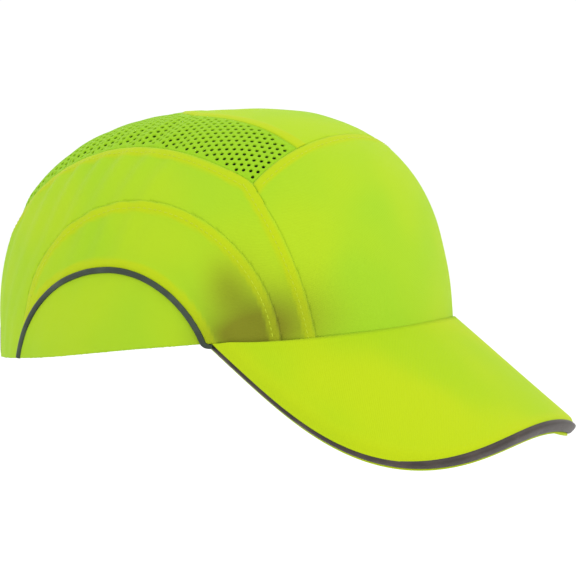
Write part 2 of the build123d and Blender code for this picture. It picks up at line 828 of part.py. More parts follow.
# ---------------------------------------------------------------- keepers, hanger and rivets
def keeper(side):
    """A sleeve for the strap, with a foot that rises to a rivet through the shell."""
    low = side * (keeper_angle - keeper_half_angle)
    high = side * (keeper_angle + keeper_half_angle)
    start, end = min(low, high), max(low, high)
    sleeve_half = rail_outer_z + strap_gap + keeper_wall
    foot_top = keeper_rivet_z - adjuster_z + rivet_head_radius + 1
    foot = (strap_outer + strap_gap, strap_radius * 2)
    with BuildPart() as piece:
        sleeve = (strap_inner - strap_gap - keeper_wall, strap_outer + strap_gap + keeper_wall)
        add(ring_sector(*sleeve, -sleeve_half, sleeve_half, start, end))
        add(ring_sector(*foot, sleeve_half - keeper_wall, foot_top, start, end))
        add(dome(shell_inside + layer_gap / 3), mode=Mode.INTERSECT)
        slot = (strap_inner - strap_gap, strap_outer + strap_gap)
        window_half = rail_outer_z + strap_gap
        window = ring_sector(*slot, -window_half, window_half, start - 1, end + 1)
        add(window, mode=Mode.SUBTRACT)
        with BuildSketch(rivet_plane(side * keeper_angle)):
            with Locations((0, keeper_rivet_z - adjuster_z)):
                Circle(rivet_radius + rivet_gap)
        extrude(amount=reach, mode=Mode.SUBTRACT)
        seat = keeper_face - rivet_head_height
        with BuildSketch(rivet_plane(side * keeper_angle)):
            with Locations((0, keeper_rivet_z - adjuster_z)):
                Circle(rivet_head_radius + rivet_gap)
        extrude(amount=seat + rivet_head_height, mode=Mode.SUBTRACT)
    return piece.part


keeper_face = strap_outer + strap_gap + keeper_wall
save(keeper(1), "strap_keeper_left")
save(keeper(-1), "strap_keeper_right")

hanger_foot_y = strap_middle_y + channel_inner - base_thickness / 2
hanger_head_y = rear_y(pad_outside, hanger_top) - hanger_thickness
hanger_foot_z = adjuster_z + housing_half_height + rivet_gap
with BuildPart() as nape_hanger:
    with BuildSketch(Plane.YZ.offset(-hanger_width / 2)):
        with BuildLine():
            foot_back = (hanger_foot_y + hanger_thickness, hanger_foot_z)
            head_back = (hanger_head_y + hanger_thickness, hanger_top)
            Polyline((hanger_foot_y, hanger_foot_z), foot_back, head_back, (hanger_head_y, hanger_top), close=True)
        make_face()
    extrude(amount=hanger_width)
    with BuildSketch(Plane.XZ):
        with Locations((0, hanger_rivet_z)):
            Circle(rivet_radius + rivet_gap)
    extrude(amount=-reach, mode=Mode.SUBTRACT)
save(nape_hanger.part, "nape_hanger")

hanger_share = (hanger_rivet_z - hanger_foot_z) / (hanger_top - hanger_foot_z)
hanger_rivet_y = hanger_foot_y + hanger_share * (hanger_head_y - hanger_foot_y)
hanger_lean = abs(hanger_head_y - hanger_foot_y) / (hanger_top - hanger_foot_z)
head_gap = hanger_lean * rivet_head_radius + rivet_gap
rivet_tail = textile_thickness + layer_gap / 2
with BuildPart() as shell_rivets:
    head_plane = Plane.XZ.offset(-(hanger_rivet_y - head_gap - rivet_head_height))
    with BuildSketch(head_plane):
        with Locations((0, hanger_rivet_z)):
            Circle(rivet_head_radius)
    extrude(amount=-rivet_head_height)
    with BuildSketch(head_plane):
        with Locations((0, hanger_rivet_z)):
            Circle(rivet_radius)
    extrude(amount=-reach)
    for angle in (-keeper_angle, keeper_angle):
        plane = rivet_plane(angle).offset(keeper_face - rivet_head_height)
        with BuildSketch(plane):
            with Locations((0, keeper_rivet_z - adjuster_z)):
                Circle(rivet_head_radius)
        extrude(amount=rivet_head_height)
        with BuildSketch(plane):
            with Locations((0, keeper_rivet_z - adjuster_z)):
                Circle(rivet_radius)
        extrude(amount=reach)
    add(dome(rivet_tail), mode=Mode.INTERSECT)
save(shell_rivets.part, "shell_rivets")
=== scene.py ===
"""The looks of a bump cap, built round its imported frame. Lengths in the code are millimetres."""

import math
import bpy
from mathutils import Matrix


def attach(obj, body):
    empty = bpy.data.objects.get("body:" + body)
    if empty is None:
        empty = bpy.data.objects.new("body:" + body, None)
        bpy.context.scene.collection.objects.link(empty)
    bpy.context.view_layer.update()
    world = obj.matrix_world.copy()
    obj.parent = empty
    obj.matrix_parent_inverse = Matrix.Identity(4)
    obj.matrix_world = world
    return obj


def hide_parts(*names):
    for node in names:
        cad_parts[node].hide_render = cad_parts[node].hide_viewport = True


bl_info = {
    "name": "Bump cap looks",
    "version": (1, 0, 0),
    "blender": (4, 5, 0),
    "location": "View3D > Sidebar > Bump Cap",
    "description": "Sewn panels, mesh, piping, pads, sweatband and adjuster finishes of a bump cap",
    "category": "Object",
}

import bpy
import numpy as np
from bpy.props import FloatProperty, FloatVectorProperty, PointerProperty
from mathutils import Quaternion, Vector

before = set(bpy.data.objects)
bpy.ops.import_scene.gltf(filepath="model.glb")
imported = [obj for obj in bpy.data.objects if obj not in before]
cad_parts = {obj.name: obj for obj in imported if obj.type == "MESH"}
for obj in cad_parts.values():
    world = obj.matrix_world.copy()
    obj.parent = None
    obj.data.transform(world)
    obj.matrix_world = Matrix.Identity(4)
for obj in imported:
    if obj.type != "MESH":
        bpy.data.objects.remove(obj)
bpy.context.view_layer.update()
MM = 0.001


# ------------------------------------------------------------------ settings
def length(name, default, description):
    """A length a user may set, in metres."""
    return FloatProperty(name=name, description=description, default=default, unit="LENGTH", precision=4)


def colour(name, default, description):
    """A colour a user may set."""
    return FloatVectorProperty(
        name=name, description=description, default=default, subtype="COLOR", size=3, min=0, max=1
    )


class CapCut(bpy.types.PropertyGroup):
    """Sizes of the crown's cut and sewing."""

    half_width: length("Half width", 0.08987, "Half of the crown's width at the rim")
    front: length("Front", 0.10472, "From the middle of the head opening to the brow")
    back: length("Back", 0.11405, "From the middle of the head opening to the nape")
    height: length("Height", 0.1024, "Height of the crown above the middle of the head opening")
    grid: length("Grid", 0.00125, "Size of the faces that the cloth is made of")
    cloth: length("Cloth", 0.0009, "Thickness of the textile")
    allowance: length("Seam allowance", 0.0052, "Width of the doubled cloth along a seam")
    hole: length("Hole", 0.00185, "Diameter of the holes in the mesh")
    hole_pitch_across: length("Hole pitch across", 0.0034, "Distance between holes across the crown")
    hole_pitch_along: length("Hole pitch along", 0.0030, "Distance between holes from front to back")
    stitch: length("Stitch", 0.0026, "Length of a stitch and its gap")
    piping: length("Piping", 0.00128, "Radius of the piping over the ears")


class CapColours(bpy.types.PropertyGroup):
    """Colours of the cap's finishes."""

    textile: colour("Textile", (0.380, 0.562, 0.011), "Fluorescent yellow-green twill")
    seam: colour("Seam", (0.455, 0.565, 0.003), "Doubled cloth along a seam")
    peak: colour("Peak", (0.425, 0.555, 0.003), "Twill of the peak's covers")
    mesh: colour("Mesh", (0.295, 0.56, 0.010), "Perforated knit")
    piping: colour("Piping", (0.031, 0.047, 0.030), "Dark reflective piping")
    foam: colour("Foam", (0.030, 0.031, 0.034), "Charcoal foam")
    shell: colour("Shell", (0.018, 0.018, 0.020), "Moulded shell")


def setting(name):
    """One of the cap's sizes, in millimetres."""
    return getattr(bpy.context.scene.cap_cut, name) / MM


# ------------------------------------------------------------------ shader expressions
class Number:
    """A number that varies over a surface. Arithmetic on it adds Math nodes."""

    def __init__(self, recipe, socket):
        self.recipe = recipe
        self.socket = socket

    def made(self, operation, *values):
        inputs = dict(enumerate(values))
        node = self.recipe.node("ShaderNodeMath", {"operation": operation}, inputs)
        return Number(self.recipe, node.outputs[0])

    def __add__(self, other):
        return self.made("ADD", self, other)

    def __radd__(self, other):
        return self.made("ADD", other, self)

    def __sub__(self, other):
        return self.made("SUBTRACT", self, other)

    def __rsub__(self, other):
        return self.made("SUBTRACT", other, self)

    def __mul__(self, other):
        return self.made("MULTIPLY", self, other)

    def __rmul__(self, other):
        return self.made("MULTIPLY", other, self)

    def wave(self):
        """The sine of the number."""
        return self.made("SINE", self)

    def clear_of(self, low, high):
        """0 below low, 1 above high and smooth between."""
        settings = {"interpolation_type": "SMOOTHSTEP"}
        inputs = {0: self, 1: low, 2: high}
        node = self.recipe.node("ShaderNodeMapRange", settings, inputs)
        return Number(self.recipe, node.outputs[0])


class Recipe:
    """One material and the nodes that it is made of."""

    def __init__(self, name, **plain):
        self.material = bpy.data.materials.new(name)
        self.material.use_nodes = True
        self.tree = self.material.node_tree
        self.surface = self.tree.nodes["Principled BSDF"]
        for socket, value in plain.items():
            self.surface.inputs[socket.replace("_", " ")].default_value = value

    def node(self, kind, settings=None, inputs=None):
        """Adds one node, sets it up, then gives its sockets their values or links."""
        made = self.tree.nodes.new(kind)
        for key, value in (settings or {}).items():
            setattr(made, key, value)
        for key, value in (inputs or {}).items():
            self.feed(made.inputs[key], value)
        return made

    def feed(self, socket, value):
        """Links or sets one socket."""
        if isinstance(value, Number):
            value = value.socket
        if isinstance(value, bpy.types.NodeSocket):
            self.tree.links.new(value, socket)
        else:
            socket.default_value = value

    def place(self):
        """The point on the surface, in the object's own metres."""
        return self.node("ShaderNodeTexCoord").outputs["Object"]

    def weave(self):
        """Where the point lies on the cloth, across and along, in millimetres."""
        cloth = self.node("ShaderNodeUVMap", {"uv_map": "cloth"})
        parts = self.node("ShaderNodeSeparateXYZ", inputs={0: cloth.outputs[0]})
        return Number(self, parts.outputs[0]), Number(self, parts.outputs[1])

    def noise(self, size, detail=2.0, vector=None):
        """Soft noise from 0 to 1 whose patches are about size millimetres."""
        inputs = {"Vector": vector or self.place(), "Scale": 1 / (size * MM), "Detail": detail}
        return Number(self, self.node("ShaderNodeTexNoise", inputs=inputs).outputs[0])

    def cells(self, size):
        """Distance from the middle of cells about size millimetres wide, 0 to 1."""
        inputs = {"Vector": self.place(), "Scale": 1 / (size * MM)}
        return Number(self, self.node("ShaderNodeTexVoronoi", inputs=inputs).outputs["Distance"])

    def painted(self, name):
        """A number that is stored on the mesh."""
        made = self.node("ShaderNodeAttribute", {"attribute_name": name})
        return Number(self, made.outputs["Fac"])

    def mix(self, share, first, second):
        """The first colour, going over to the second as share goes to 1."""
        inputs = {0: share, 6: self.solid(first), 7: self.solid(second)}
        settings = {"data_type": "RGBA"}
        return self.node("ShaderNodeMix", settings, inputs).outputs[2]

    def glow(self, tint):
        """Lets the surface shine faintly in its own colour: a painted glow that stands for the
        brightness of fluorescent cloth.
        """
        self.feed(self.surface.inputs["Emission Color"], tint)
        self.surface.inputs["Emission Strength"].default_value = GLOW

    @staticmethod
    def solid(value):
        """A colour with its alpha, or a socket as it is."""
        if isinstance(value, bpy.types.NodeSocket):
            return value
        return (*value[:3], 1.0)

    def coat(self, base, roughness=None, height=None, relief=0.1, strength=0.5):
        """Feeds the surface its colour, roughness and relief, which is in millimetres."""
        self.feed(self.surface.inputs["Base Color"], self.solid(base))
        if roughness is not None:
            self.feed(self.surface.inputs["Roughness"], roughness)
        if height is not None:
            inputs = {"Height": height, "Distance": relief * MM, "Strength": strength}
            bump = self.node("ShaderNodeBump", inputs=inputs)
            self.feed(self.surface.inputs["Normal"], bump.outputs[0])
        return self.material


def shade(value, factor):
    """A colour made lighter or darker."""
    return tuple(min(1.0, part * factor) for part in value)


# The painted shade on the cloth above the peak's corner, the strength of the painted glow that stands
# for the fluorescent cloth's brightness, and the pitch of ribs and wales.
PAINTED_SHADE = (0.175, 0.165, 0.010)
GLOW = 0.05
TWILL_PITCH = 0.95
KNIT_PITCH = 0.8


def twill(name, base, seam):
    """Close fluorescent twill: fine diagonal ribs, a little unevenness, deeper where it is doubled."""
    recipe = Recipe(name, Sheen_Weight=0.03, Sheen_Roughness=0.6, Specular_IOR_Level=0.12)
    across, along = recipe.weave()
    ribs = ((across + along) * (2 * math.pi / TWILL_PITCH)).wave()
    threads = ((across - along) * (4 * math.pi / TWILL_PITCH)).wave()
    slub = recipe.noise(1.6, 3.0)
    patch = recipe.noise(48.0, 1.0)
    height = ribs * 0.5 + threads * 0.25 + slub * 0.9
    green = (base[0] * 0.84, base[1] * 0.99, base[2] * 1.5)
    colour_now = recipe.mix(patch.clear_of(0.3, 0.7), green, shade(base, 1.03))
    # Painted highlight: the crests of the diagonal ribs are a little lighter.
    colour_now = recipe.mix(ribs.clear_of(-1.2, 1.6) * 0.16, colour_now, shade(base, 1.3))
    colour_now = recipe.mix(recipe.painted("seam") * 0.8, colour_now, seam)
    # Painted shade: the cloth is darkened to olive where it sinks in above the peak's corner.
    colour_now = recipe.mix(recipe.painted("sunk_and_shaded"), colour_now, PAINTED_SHADE)
    recipe.glow(colour_now)
    return recipe.coat(colour_now, 0.68 + slub * 0.16, height, 0.09, 0.5)


def knit(name, base, seam):
    """Perforated knit of the mesh crown: fine wales and courses, with darker patches of fuzz."""
    recipe = Recipe(name, Sheen_Weight=0.03, Sheen_Roughness=0.6, Specular_IOR_Level=0.12)
    across, along = recipe.weave()
    wales = (across * (2 * math.pi / KNIT_PITCH)).wave()
    courses = (along * (2 * math.pi / KNIT_PITCH)).wave()
    fuzz = recipe.noise(1.2, 3.0)
    rim = recipe.painted("seam")
    colour_now = recipe.mix(fuzz.clear_of(0.3, 0.7) * 0.3, base, shade(base, 0.8))
    colour_now = recipe.mix(rim * 0.5, colour_now, seam)
    recipe.glow(colour_now)
    return recipe.coat(colour_now, 0.7 + fuzz * 0.15, wales * 0.5 + courses * 0.4 + fuzz, 0.12, 0.5)


def reflective(name, base):
    """Dark reflective tape: a fine grey weave full of small glass beads."""
    recipe = Recipe(name, Specular_IOR_Level=0.3, Coat_Weight=0.05, Coat_Roughness=0.35)
    beads = recipe.cells(0.35)
    wear = recipe.noise(9.0, 3.0)
    glint = beads.clear_of(0.35, 0.1)
    colour_now = recipe.mix(wear.clear_of(0.4, 0.75), shade(base, 0.85), shade(base, 1.5))
    # Painted glints: the glass beads are lighter at their middles.
    colour_now = recipe.mix(glint * 0.2, colour_now, shade(base, 3.0))
    return recipe.coat(colour_now, 0.5 - glint * 0.2, beads * -1.0 + wear * 0.5, 0.08, 0.6)


def moulded(name, base, rough=0.5, grain=0.7, relief=0.05, coat=0.0):
    """Moulded plastic: fine grain, faint flow marks, and scuffs that are paler."""
    recipe = Recipe(name, Coat_Weight=coat, Coat_Roughness=0.25)
    fine = recipe.noise(grain, 4.0)
    flow = recipe.noise(18.0, 2.0)
    scuff = recipe.noise(3.2, 5.0).clear_of(0.62, 0.72)
    colour_now = recipe.mix(flow.clear_of(0.3, 0.7), shade(base, 0.85), shade(base, 1.15))
    colour_now = recipe.mix(scuff * 0.25, colour_now, shade(base, 2.0))
    return recipe.coat(colour_now, rough + fine * 0.12 + scuff * 0.08, fine, relief, 0.5)


def foam(name, base):
    """Closed-cell foam with a fine open skin."""
    recipe = Recipe(name, Specular_IOR_Level=0.2)
    pores = recipe.cells(0.7)
    cloud = recipe.noise(12.0, 3.0)
    # Painted shade: the pores are darker at their middles, where they sink in.
    colour_now = recipe.mix(pores.clear_of(0.2, 0.5), shade(base, 0.6), shade(base, 1.3))
    colour_now = recipe.mix(cloud.clear_of(0.4, 0.7) * 0.4, colour_now, shade(base, 1.7))
    return recipe.coat(colour_now, 0.85 + cloud * 0.1, pores + cloud, 0.22, 0.7)


def towelling(name, base):
    """Looped towelling of the sweatband."""
    recipe = Recipe(name, Sheen_Weight=0.35, Sheen_Roughness=0.5, Specular_IOR_Level=0.1)
    loops = recipe.cells(0.9)
    rows = recipe.noise(2.4, 4.0)
    # Painted highlight and shade: the tops of the loops are lighter and the gaps between them darker.
    colour_now = recipe.mix(loops.clear_of(0.1, 0.6), shade(base, 2.2), shade(base, 0.5))
    colour_now = recipe.mix(rows.clear_of(0.4, 0.7) * 0.5, colour_now, shade(base, 1.6))
    return recipe.coat(colour_now, 0.9 + rows * 0.08, rows - loops, 0.5, 0.9)


def webbing(name, base):
    """Woven tape with ribs across it."""
    recipe = Recipe(name, Sheen_Weight=0.15, Specular_IOR_Level=0.2)
    parts = recipe.node("ShaderNodeSeparateXYZ", inputs={0: recipe.place()})
    side = Number(recipe, parts.outputs[0])
    up = Number(recipe, parts.outputs[2])
    ribs = (up * (2 * math.pi / (1.1 * MM))).wave()
    threads = (side * (2 * math.pi / (0.9 * MM))).wave()
    fuzz = recipe.noise(1.1, 3.0)
    # Painted highlight and shade: the crests of the ribs are lighter and the troughs darker.
    colour_now = recipe.mix(ribs.clear_of(-1.0, 1.0) * 0.6, shade(base, 0.6), shade(base, 1.6))
    return recipe.coat(colour_now, 0.75 + fuzz * 0.15, ribs + threads * 0.6 + fuzz, 0.25, 0.8)


def plated(name, base):
    """Zinc-plated steel with turning marks."""
    recipe = Recipe(name, Metallic=1.0)
    marks = recipe.noise(0.6, 5.0)
    stain = recipe.noise(3.0, 3.0)
    colour_now = recipe.mix(stain.clear_of(0.4, 0.7), shade(base, 0.75), base)
    return recipe.coat(colour_now, 0.28 + marks * 0.2, marks, 0.03, 0.5)


def thread(name, base):
    """Sewing thread with a slight sheen and a twist."""
    recipe = Recipe(name, Sheen_Weight=0.2, Specular_IOR_Level=0.4)
    twist = recipe.noise(0.5, 2.0)
    colour_now = recipe.mix(twist, shade(base, 0.8), shade(base, 1.2))
    return recipe.coat(colour_now, 0.5 + twist * 0.2, twist, 0.1, 0.6)


# ------------------------------------------------------------------ the crown's formula
# Powers of the crown's outlines: 1 is an ellipse, and a smaller one is fuller towards the top.
WIDTH_POWER, FRONT_POWER, BACK_POWER, HEIGHT_POWER = 0.67, 0.685, 0.85, 0.853
# The rim's height at the middle of the head opening, and how fast it falls towards the nape.
RIM_HEIGHT, RIM_SLOPE = 1.06, 0.082
# The peak: its bend across, its slope, where it leaves the brow, its outline and its thickness.
PEAK_RADIUS, PEAK_SLOPE, PEAK_ROOT_HEIGHT = 103.1, math.radians(36.87), 8.2
PEAK_HALF_WIDTH, PEAK_LENGTH, PEAK_START, PEAK_POWER = 80.77, 116.3, -48.2, 3.845
PEAK_THICKNESS = 4.2
# The fan of rays that lays the cloth out: its height, its turn from front to back, its lean to
# each side, how wide the cloth is to each side, and how near and far a ray may meet the crown.
FAN_MIDDLE_HEIGHT = -40.0
FAN_ANGLES = (math.radians(12), math.radians(168))
FAN_HALF = math.radians(76)
CLOTH_HALF = 165
RAY_NEAR, RAY_FAR = 5.0, 260.0


def halved(low, high, over):
    """Halves the gap between low and high, values that aren't over and values that are."""
    for _ in range(40):
        middle = (low + high) / 2
        above = over(middle)
        high = np.where(above, middle, high)
        low = np.where(above, low, middle)
    return low, high


class Crown:
    """The crown's outside. Its level at a height is an oval with its middle on the cap's middle line."""

    def __init__(self):
        self.half_width = setting("half_width")
        self.front = setting("front")
        self.back = setting("back")
        self.height = setting("height")

    def level(self, z):
        """Half width, middle and half length of the oval at height z."""
        share = np.clip(np.asarray(z, float) / self.height, 0, 0.99999)
        c = np.cos(np.arcsin(share ** (1 / HEIGHT_POWER)))
        front = self.front * c**FRONT_POWER
        back = self.back * c**BACK_POWER
        return self.half_width * c**WIDTH_POWER, (back - front) / 2, (back + front) / 2

    def beyond(self, p):
        """Below 0 inside the crown, above 0 outside."""
        wide, middle, long = self.level(p[..., 2])
        value = np.hypot(p[..., 0] / wide, (p[..., 1] - middle) / long) - 1
        return np.where(p[..., 2] >= self.height, 1.0, value)

    def along_ray(self, start, direction):
        """Where rays from a point inside meet the crown."""

        def outside(reach):
            return self.beyond(start + direction * reach[..., None]) > 0

        shape = direction.shape[:-1]
        _, reach = halved(np.full(shape, RAY_NEAR), np.full(shape, RAY_FAR), outside)
        return start + direction * reach[..., None]

    def side_point(self, y, z, side):
        """The point of the crown at y and z on one side."""
        wide, middle, long = self.level(z)
        x = side * wide * np.sqrt(np.clip(1 - ((y - middle) / long) ** 2, 0, 1))
        return np.stack([x, y, z], -1)

    def top_point(self, x, y):
        """The point of the crown above x and y."""

        def outside(z):
            return self.beyond(np.stack([x, y, z], -1)) > 0

        z, _ = halved(np.zeros(len(x)), np.full(len(x), self.height), outside)
        return np.stack([x, y, z], -1)


class Table:
    """The crown as cloth coordinates: rows run over it from front to back, columns across it."""

    def __init__(self, crown, step):
        self.step = step
        self.half = int(CLOTH_HALF / step)
        self.start = np.array([0, crown.level(0.0)[1], FAN_MIDDLE_HEIGHT])
        turn = np.linspace(*FAN_ANGLES, 600)
        run = self.run(crown.along_ray(self.start, self.ways(turn, np.zeros(1))[:, 0]))
        self.top = np.interp(math.pi / 2, turn, run)
        self.rows = int(run[-1] / step)
        turns = np.interp(np.arange(self.rows + 1) * step, run, turn)
        self.places = self.laid_out(crown, turns)
        self.outward = self.facing_outwards()

    def laid_out(self, crown, turns):
        """The cloth's points, a step apart along each row and from row to row at the middle."""
        lean = np.linspace(-FAN_HALF, FAN_HALF, 401)
        wanted = np.arange(-self.half, self.half + 1) * self.step
        places = np.zeros((len(turns), len(wanted), 3))
        for i, row in enumerate(crown.along_ray(self.start, self.ways(turns, lean))):
            reach = self.run(row)
            reach -= reach[len(row) // 2]
            for k in range(3):
                places[i, :, k] = np.interp(wanted, reach, row[:, k])
        return places

    def facing_outwards(self):
        """The outward direction at each of the cloth's points."""
        out = np.cross(np.gradient(self.places, axis=1), np.gradient(self.places, axis=0))
        out = out / np.maximum(np.linalg.norm(out, axis=-1, keepdims=True), 1e-9)
        facing = np.sign(np.sum(out * (self.places - self.start), -1, keepdims=True))
        return out * np.where(facing == 0, 1, facing)

    @staticmethod
    def ways(turn, lean):
        """Directions of the fan: turn runs from front to back, lean to the sides."""
        turn, lean = np.meshgrid(turn, lean, indexing="ij")
        y = -np.cos(lean) * np.cos(turn)
        return np.stack([np.sin(lean), y, np.cos(lean) * np.sin(turn)], -1)

    @staticmethod
    def run(line):
        """Distance along a line of points."""
        steps = np.linalg.norm(np.diff(line, axis=0), axis=1)
        return np.concatenate([[0], np.cumsum(steps)])

    def at(self, along, across):
        """Place, outward direction and cloth coordinates at distances along and across."""
        i = np.clip((along + self.top) / self.step, 0, self.rows - 1.001)
        j = np.clip(across / self.step + self.half, 0, 2 * self.half - 1.001)
        i0, j0 = i.astype(int), j.astype(int)
        fi, fj = (i - i0)[:, None], (j - j0)[:, None]
        both = np.concatenate([self.places, self.outward], -1)
        near = both[i0, j0] * (1 - fj) + both[i0, j0 + 1] * fj
        far = both[i0 + 1, j0] * (1 - fj) + both[i0 + 1, j0 + 1] * fj
        rows = near * (1 - fi) + far * fi
        return np.concatenate([rows, across[:, None], along[:, None]], -1)

    def cloth(self):
        """The whole crown as one piece of cloth."""
        i, j = np.meshgrid(np.arange(self.rows + 1), np.arange(2 * self.half + 1), indexing="ij")
        rows = np.concatenate(
            [
                self.places.reshape(-1, 3),
                self.outward.reshape(-1, 3),
                ((j - self.half) * self.step).reshape(-1, 1),
                (i * self.step - self.top).reshape(-1, 1),
            ],
            -1,
        )
        wide = 2 * self.half + 1
        first = (i[:-1, :-1] * wide + j[:-1, :-1]).reshape(-1)
        quads = np.stack([first, first + 1, first + wide + 1, first + wide], -1)
        return Cloth(rows, quads)


class Cloth:
    """Points with their outward direction and cloth coordinates, and the faces between them."""

    SNAP = 0.14

    def __init__(self, rows, quads, others=()):
        self.rows = rows
        self.quads = quads
        self.others = list(others)

    def keep(self, measure):
        """Cuts the cloth where measure is 0 and keeps the part where it is above 0."""
        value = measure(self.rows[:, :3], self.rows[:, 3:6])
        value = np.where(np.abs(value) < self.SNAP, 0.0, value)
        low = value[self.quads].min(1)
        high = value[self.quads].max(1)
        mixed = (low < 0) & (high > 0)
        polygons = [tuple(q) for q in self.quads[mixed].tolist()]
        polygons += [p for p in self.others if max(value[i] for i in p) > 0]
        quads = self.quads[(low >= 0) & (high > 0)]
        extra, cut, others = [], {}, []
        for polygon in polygons:
            corners = []
            for a, b in zip(polygon, polygon[1:] + polygon[:1]):
                if value[a] >= 0:
                    corners.append(a)
                if value[a] * value[b] < 0:
                    key = (min(a, b), max(a, b))
                    if key not in cut:
                        share = value[key[0]] / (value[key[0]] - value[key[1]])
                        cut[key] = len(self.rows) + len(extra)
                        extra.append(self.rows[key[0]] * (1 - share) + self.rows[key[1]] * share)
                    corners.append(cut[key])
            if len(corners) > 2:
                others.append(tuple(corners))
        rows = np.concatenate([self.rows, np.array(extra).reshape(-1, 8)])
        return Cloth(rows, quads, others)

    def tidy(self):
        """Drops the points that no face uses."""
        used = set(self.quads.reshape(-1).tolist())
        for polygon in self.others:
            used.update(polygon)
        order = np.array(sorted(used), int)
        new = np.full(len(self.rows), -1)
        new[order] = np.arange(len(order))
        others = [tuple(new[i] for i in polygon) for polygon in self.others]
        return Cloth(self.rows[order], new[self.quads], others)


# ------------------------------------------------------------------ seams, as signed distances
# Where a seam's direction is nearly the cloth's own, its distance isn't stretched beyond this.
LEAST_SLANT = 0.08


def on_cloth(value, gradient, outward):
    """A distance in space made into one along the cloth."""
    leaning = np.sum(gradient * outward, -1)
    return value / np.sqrt(np.clip(1 - leaning**2, LEAST_SLANT, 1))


def disc_seam(plane, middle, radius):
    """Above 0 inside a circle that is seen along an axis: plane holds its two other axes."""
    first, second = plane

    def measure(p, outward):
        a = p[:, first] - middle[0]
        b = p[:, second] - middle[1]
        away = np.maximum(np.hypot(a, b), 1e-6)
        gradient = np.zeros_like(p)
        gradient[:, first] = -a / away
        gradient[:, second] = -b / away
        return on_cloth(radius - away, gradient, outward)

    return measure


# Seams that are circles, seen from the side or from above: the two axes, the middle, the radius.
SIDE, PLAN = (1, 2), (0, 1)
FRONT_SIDE_CIRCLE = (SIDE, (38.0, -8.0), 120.4)
BROW_CIRCLE = (PLAN, (0.0, 82.76), 148.76)
TOP_CIRCLE = (SIDE, (4.6, -26.0), 112.5)
MIDDLE_CIRCLE = (SIDE, (-7.0, 0.0), 64.0)
EAR_REAR_CIRCLE = (SIDE, (1.0, -31.0), 66.0)
EAR_FRONT_CIRCLE = (SIDE, (1.0, -11.0), 46.0)
front_side_seam = disc_seam(*FRONT_SIDE_CIRCLE)
front_top_seam = disc_seam(*BROW_CIRCLE)
top_seam = disc_seam(*TOP_CIRCLE)
middle_seam = disc_seam(*MIDDLE_CIRCLE)
ear_rear_seam = disc_seam(*EAR_REAR_CIRCLE)
ear_front_seam = disc_seam(*EAR_FRONT_CIRCLE)
# The plain patch is straight sided in front and round behind; the opening at the nape is an oval.
TONGUE_HALF, TONGUE_STRAIGHT, TONGUE_ROUND = 36.5, -15.0, 30.0
ARCH_HALF, ARCH_HEIGHT, ARCH_FOOT = 41.0, 46.0, -8.3
# Stands for a distance from a seam that isn't near.
FAR_OFF = 50.0


def front_panel_zone(p, outward):
    """Above 0 on the front panel."""
    return np.minimum(-front_side_seam(p, outward), -front_top_seam(p, outward))


def ear_zone(p, outward):
    """Above 0 inside the arch over the ear."""
    behind = p[:, 1] > EAR_REAR_CIRCLE[1][0]
    return np.where(behind, ear_rear_seam(p, outward), ear_front_seam(p, outward))


def past_oval(a, b, half_a, half_b):
    """About how far points are outside an oval; below 0 inside it."""
    reach = np.maximum(np.hypot(a / half_a, b / half_b), 1e-6)
    slope = np.maximum(np.hypot(a / half_a**2, b / half_b**2) / reach, 1e-6)
    return (reach - 1) / slope


def tongue_zone(p, outward):
    """Above 0 on the plain patch of the crown."""
    x, y = np.abs(p[:, 0]), p[:, 1] - TONGUE_STRAIGHT
    return np.where(y < 0, TONGUE_HALF - x, -past_oval(x, y, TONGUE_HALF, TONGUE_ROUND))


def arch_zone(p, outward):
    """Above 0 outside the opening at the nape, which has a bound edge."""
    beside = past_oval(p[:, 0], p[:, 2] - ARCH_FOOT, ARCH_HALF, ARCH_HEIGHT)
    return np.where(p[:, 1] > 0, beside - 1.2, FAR_OFF)


def peak_height(p):
    """Height above the peak's upper surface."""
    up = -(p[:, 1] + crown().front) * math.sin(PEAK_SLOPE)
    up += (p[:, 2] - PEAK_ROOT_HEIGHT) * math.cos(PEAK_SLOPE)
    return np.hypot(p[:, 0], up + PEAK_RADIUS) - PEAK_RADIUS


def rim_height(p):
    """Height of the rim at points."""
    return RIM_HEIGHT - RIM_SLOPE * p[:, 1]


def above_rim(p, outward):
    """Above 0 over the rim and, in front, down to the inside of the peak's root."""
    rim = p[:, 2] - rim_height(p) + 1.3 * ramp(p[:, 1], -20, 50)
    tucked = 0.3 + PEAK_THICKNESS * 0.55 * ramp(79 - np.abs(p[:, 0]), 1, 22)
    return np.maximum(rim, peak_height(p) + tucked)


def opposite(measure):
    """The other side of a seam."""
    return lambda p, outward: -measure(p, outward)


def on_side(side):
    """Above 0 on one side of the cap."""
    return lambda p, outward: side * p[:, 0]


def ramp(value, low, high):
    """0 below low, 1 above high and smooth between."""
    share = np.clip((value - low) / (high - low), 0, 1)
    return share * share * (3 - 2 * share)


def swell(p, size, seed):
    """Soft unevenness from -1 to 1 with humps about size millimetres wide."""
    chance = np.random.default_rng(seed)
    total = np.zeros(len(p))
    for _ in range(7):
        way = chance.normal(size=3)
        way *= chance.uniform(0.7, 1.3) * math.pi / size / np.linalg.norm(way)
        total += np.sin(p @ way + chance.uniform(0, 2 * math.pi))
    return total / 3.5


def seam_edge(distance, width):
    """How raised and how doubled the cloth is beside a seam, 0 to 1."""
    return ramp(distance, 0.2, 1.1) * (1 - ramp(distance, width - 0.6, width + 0.5))


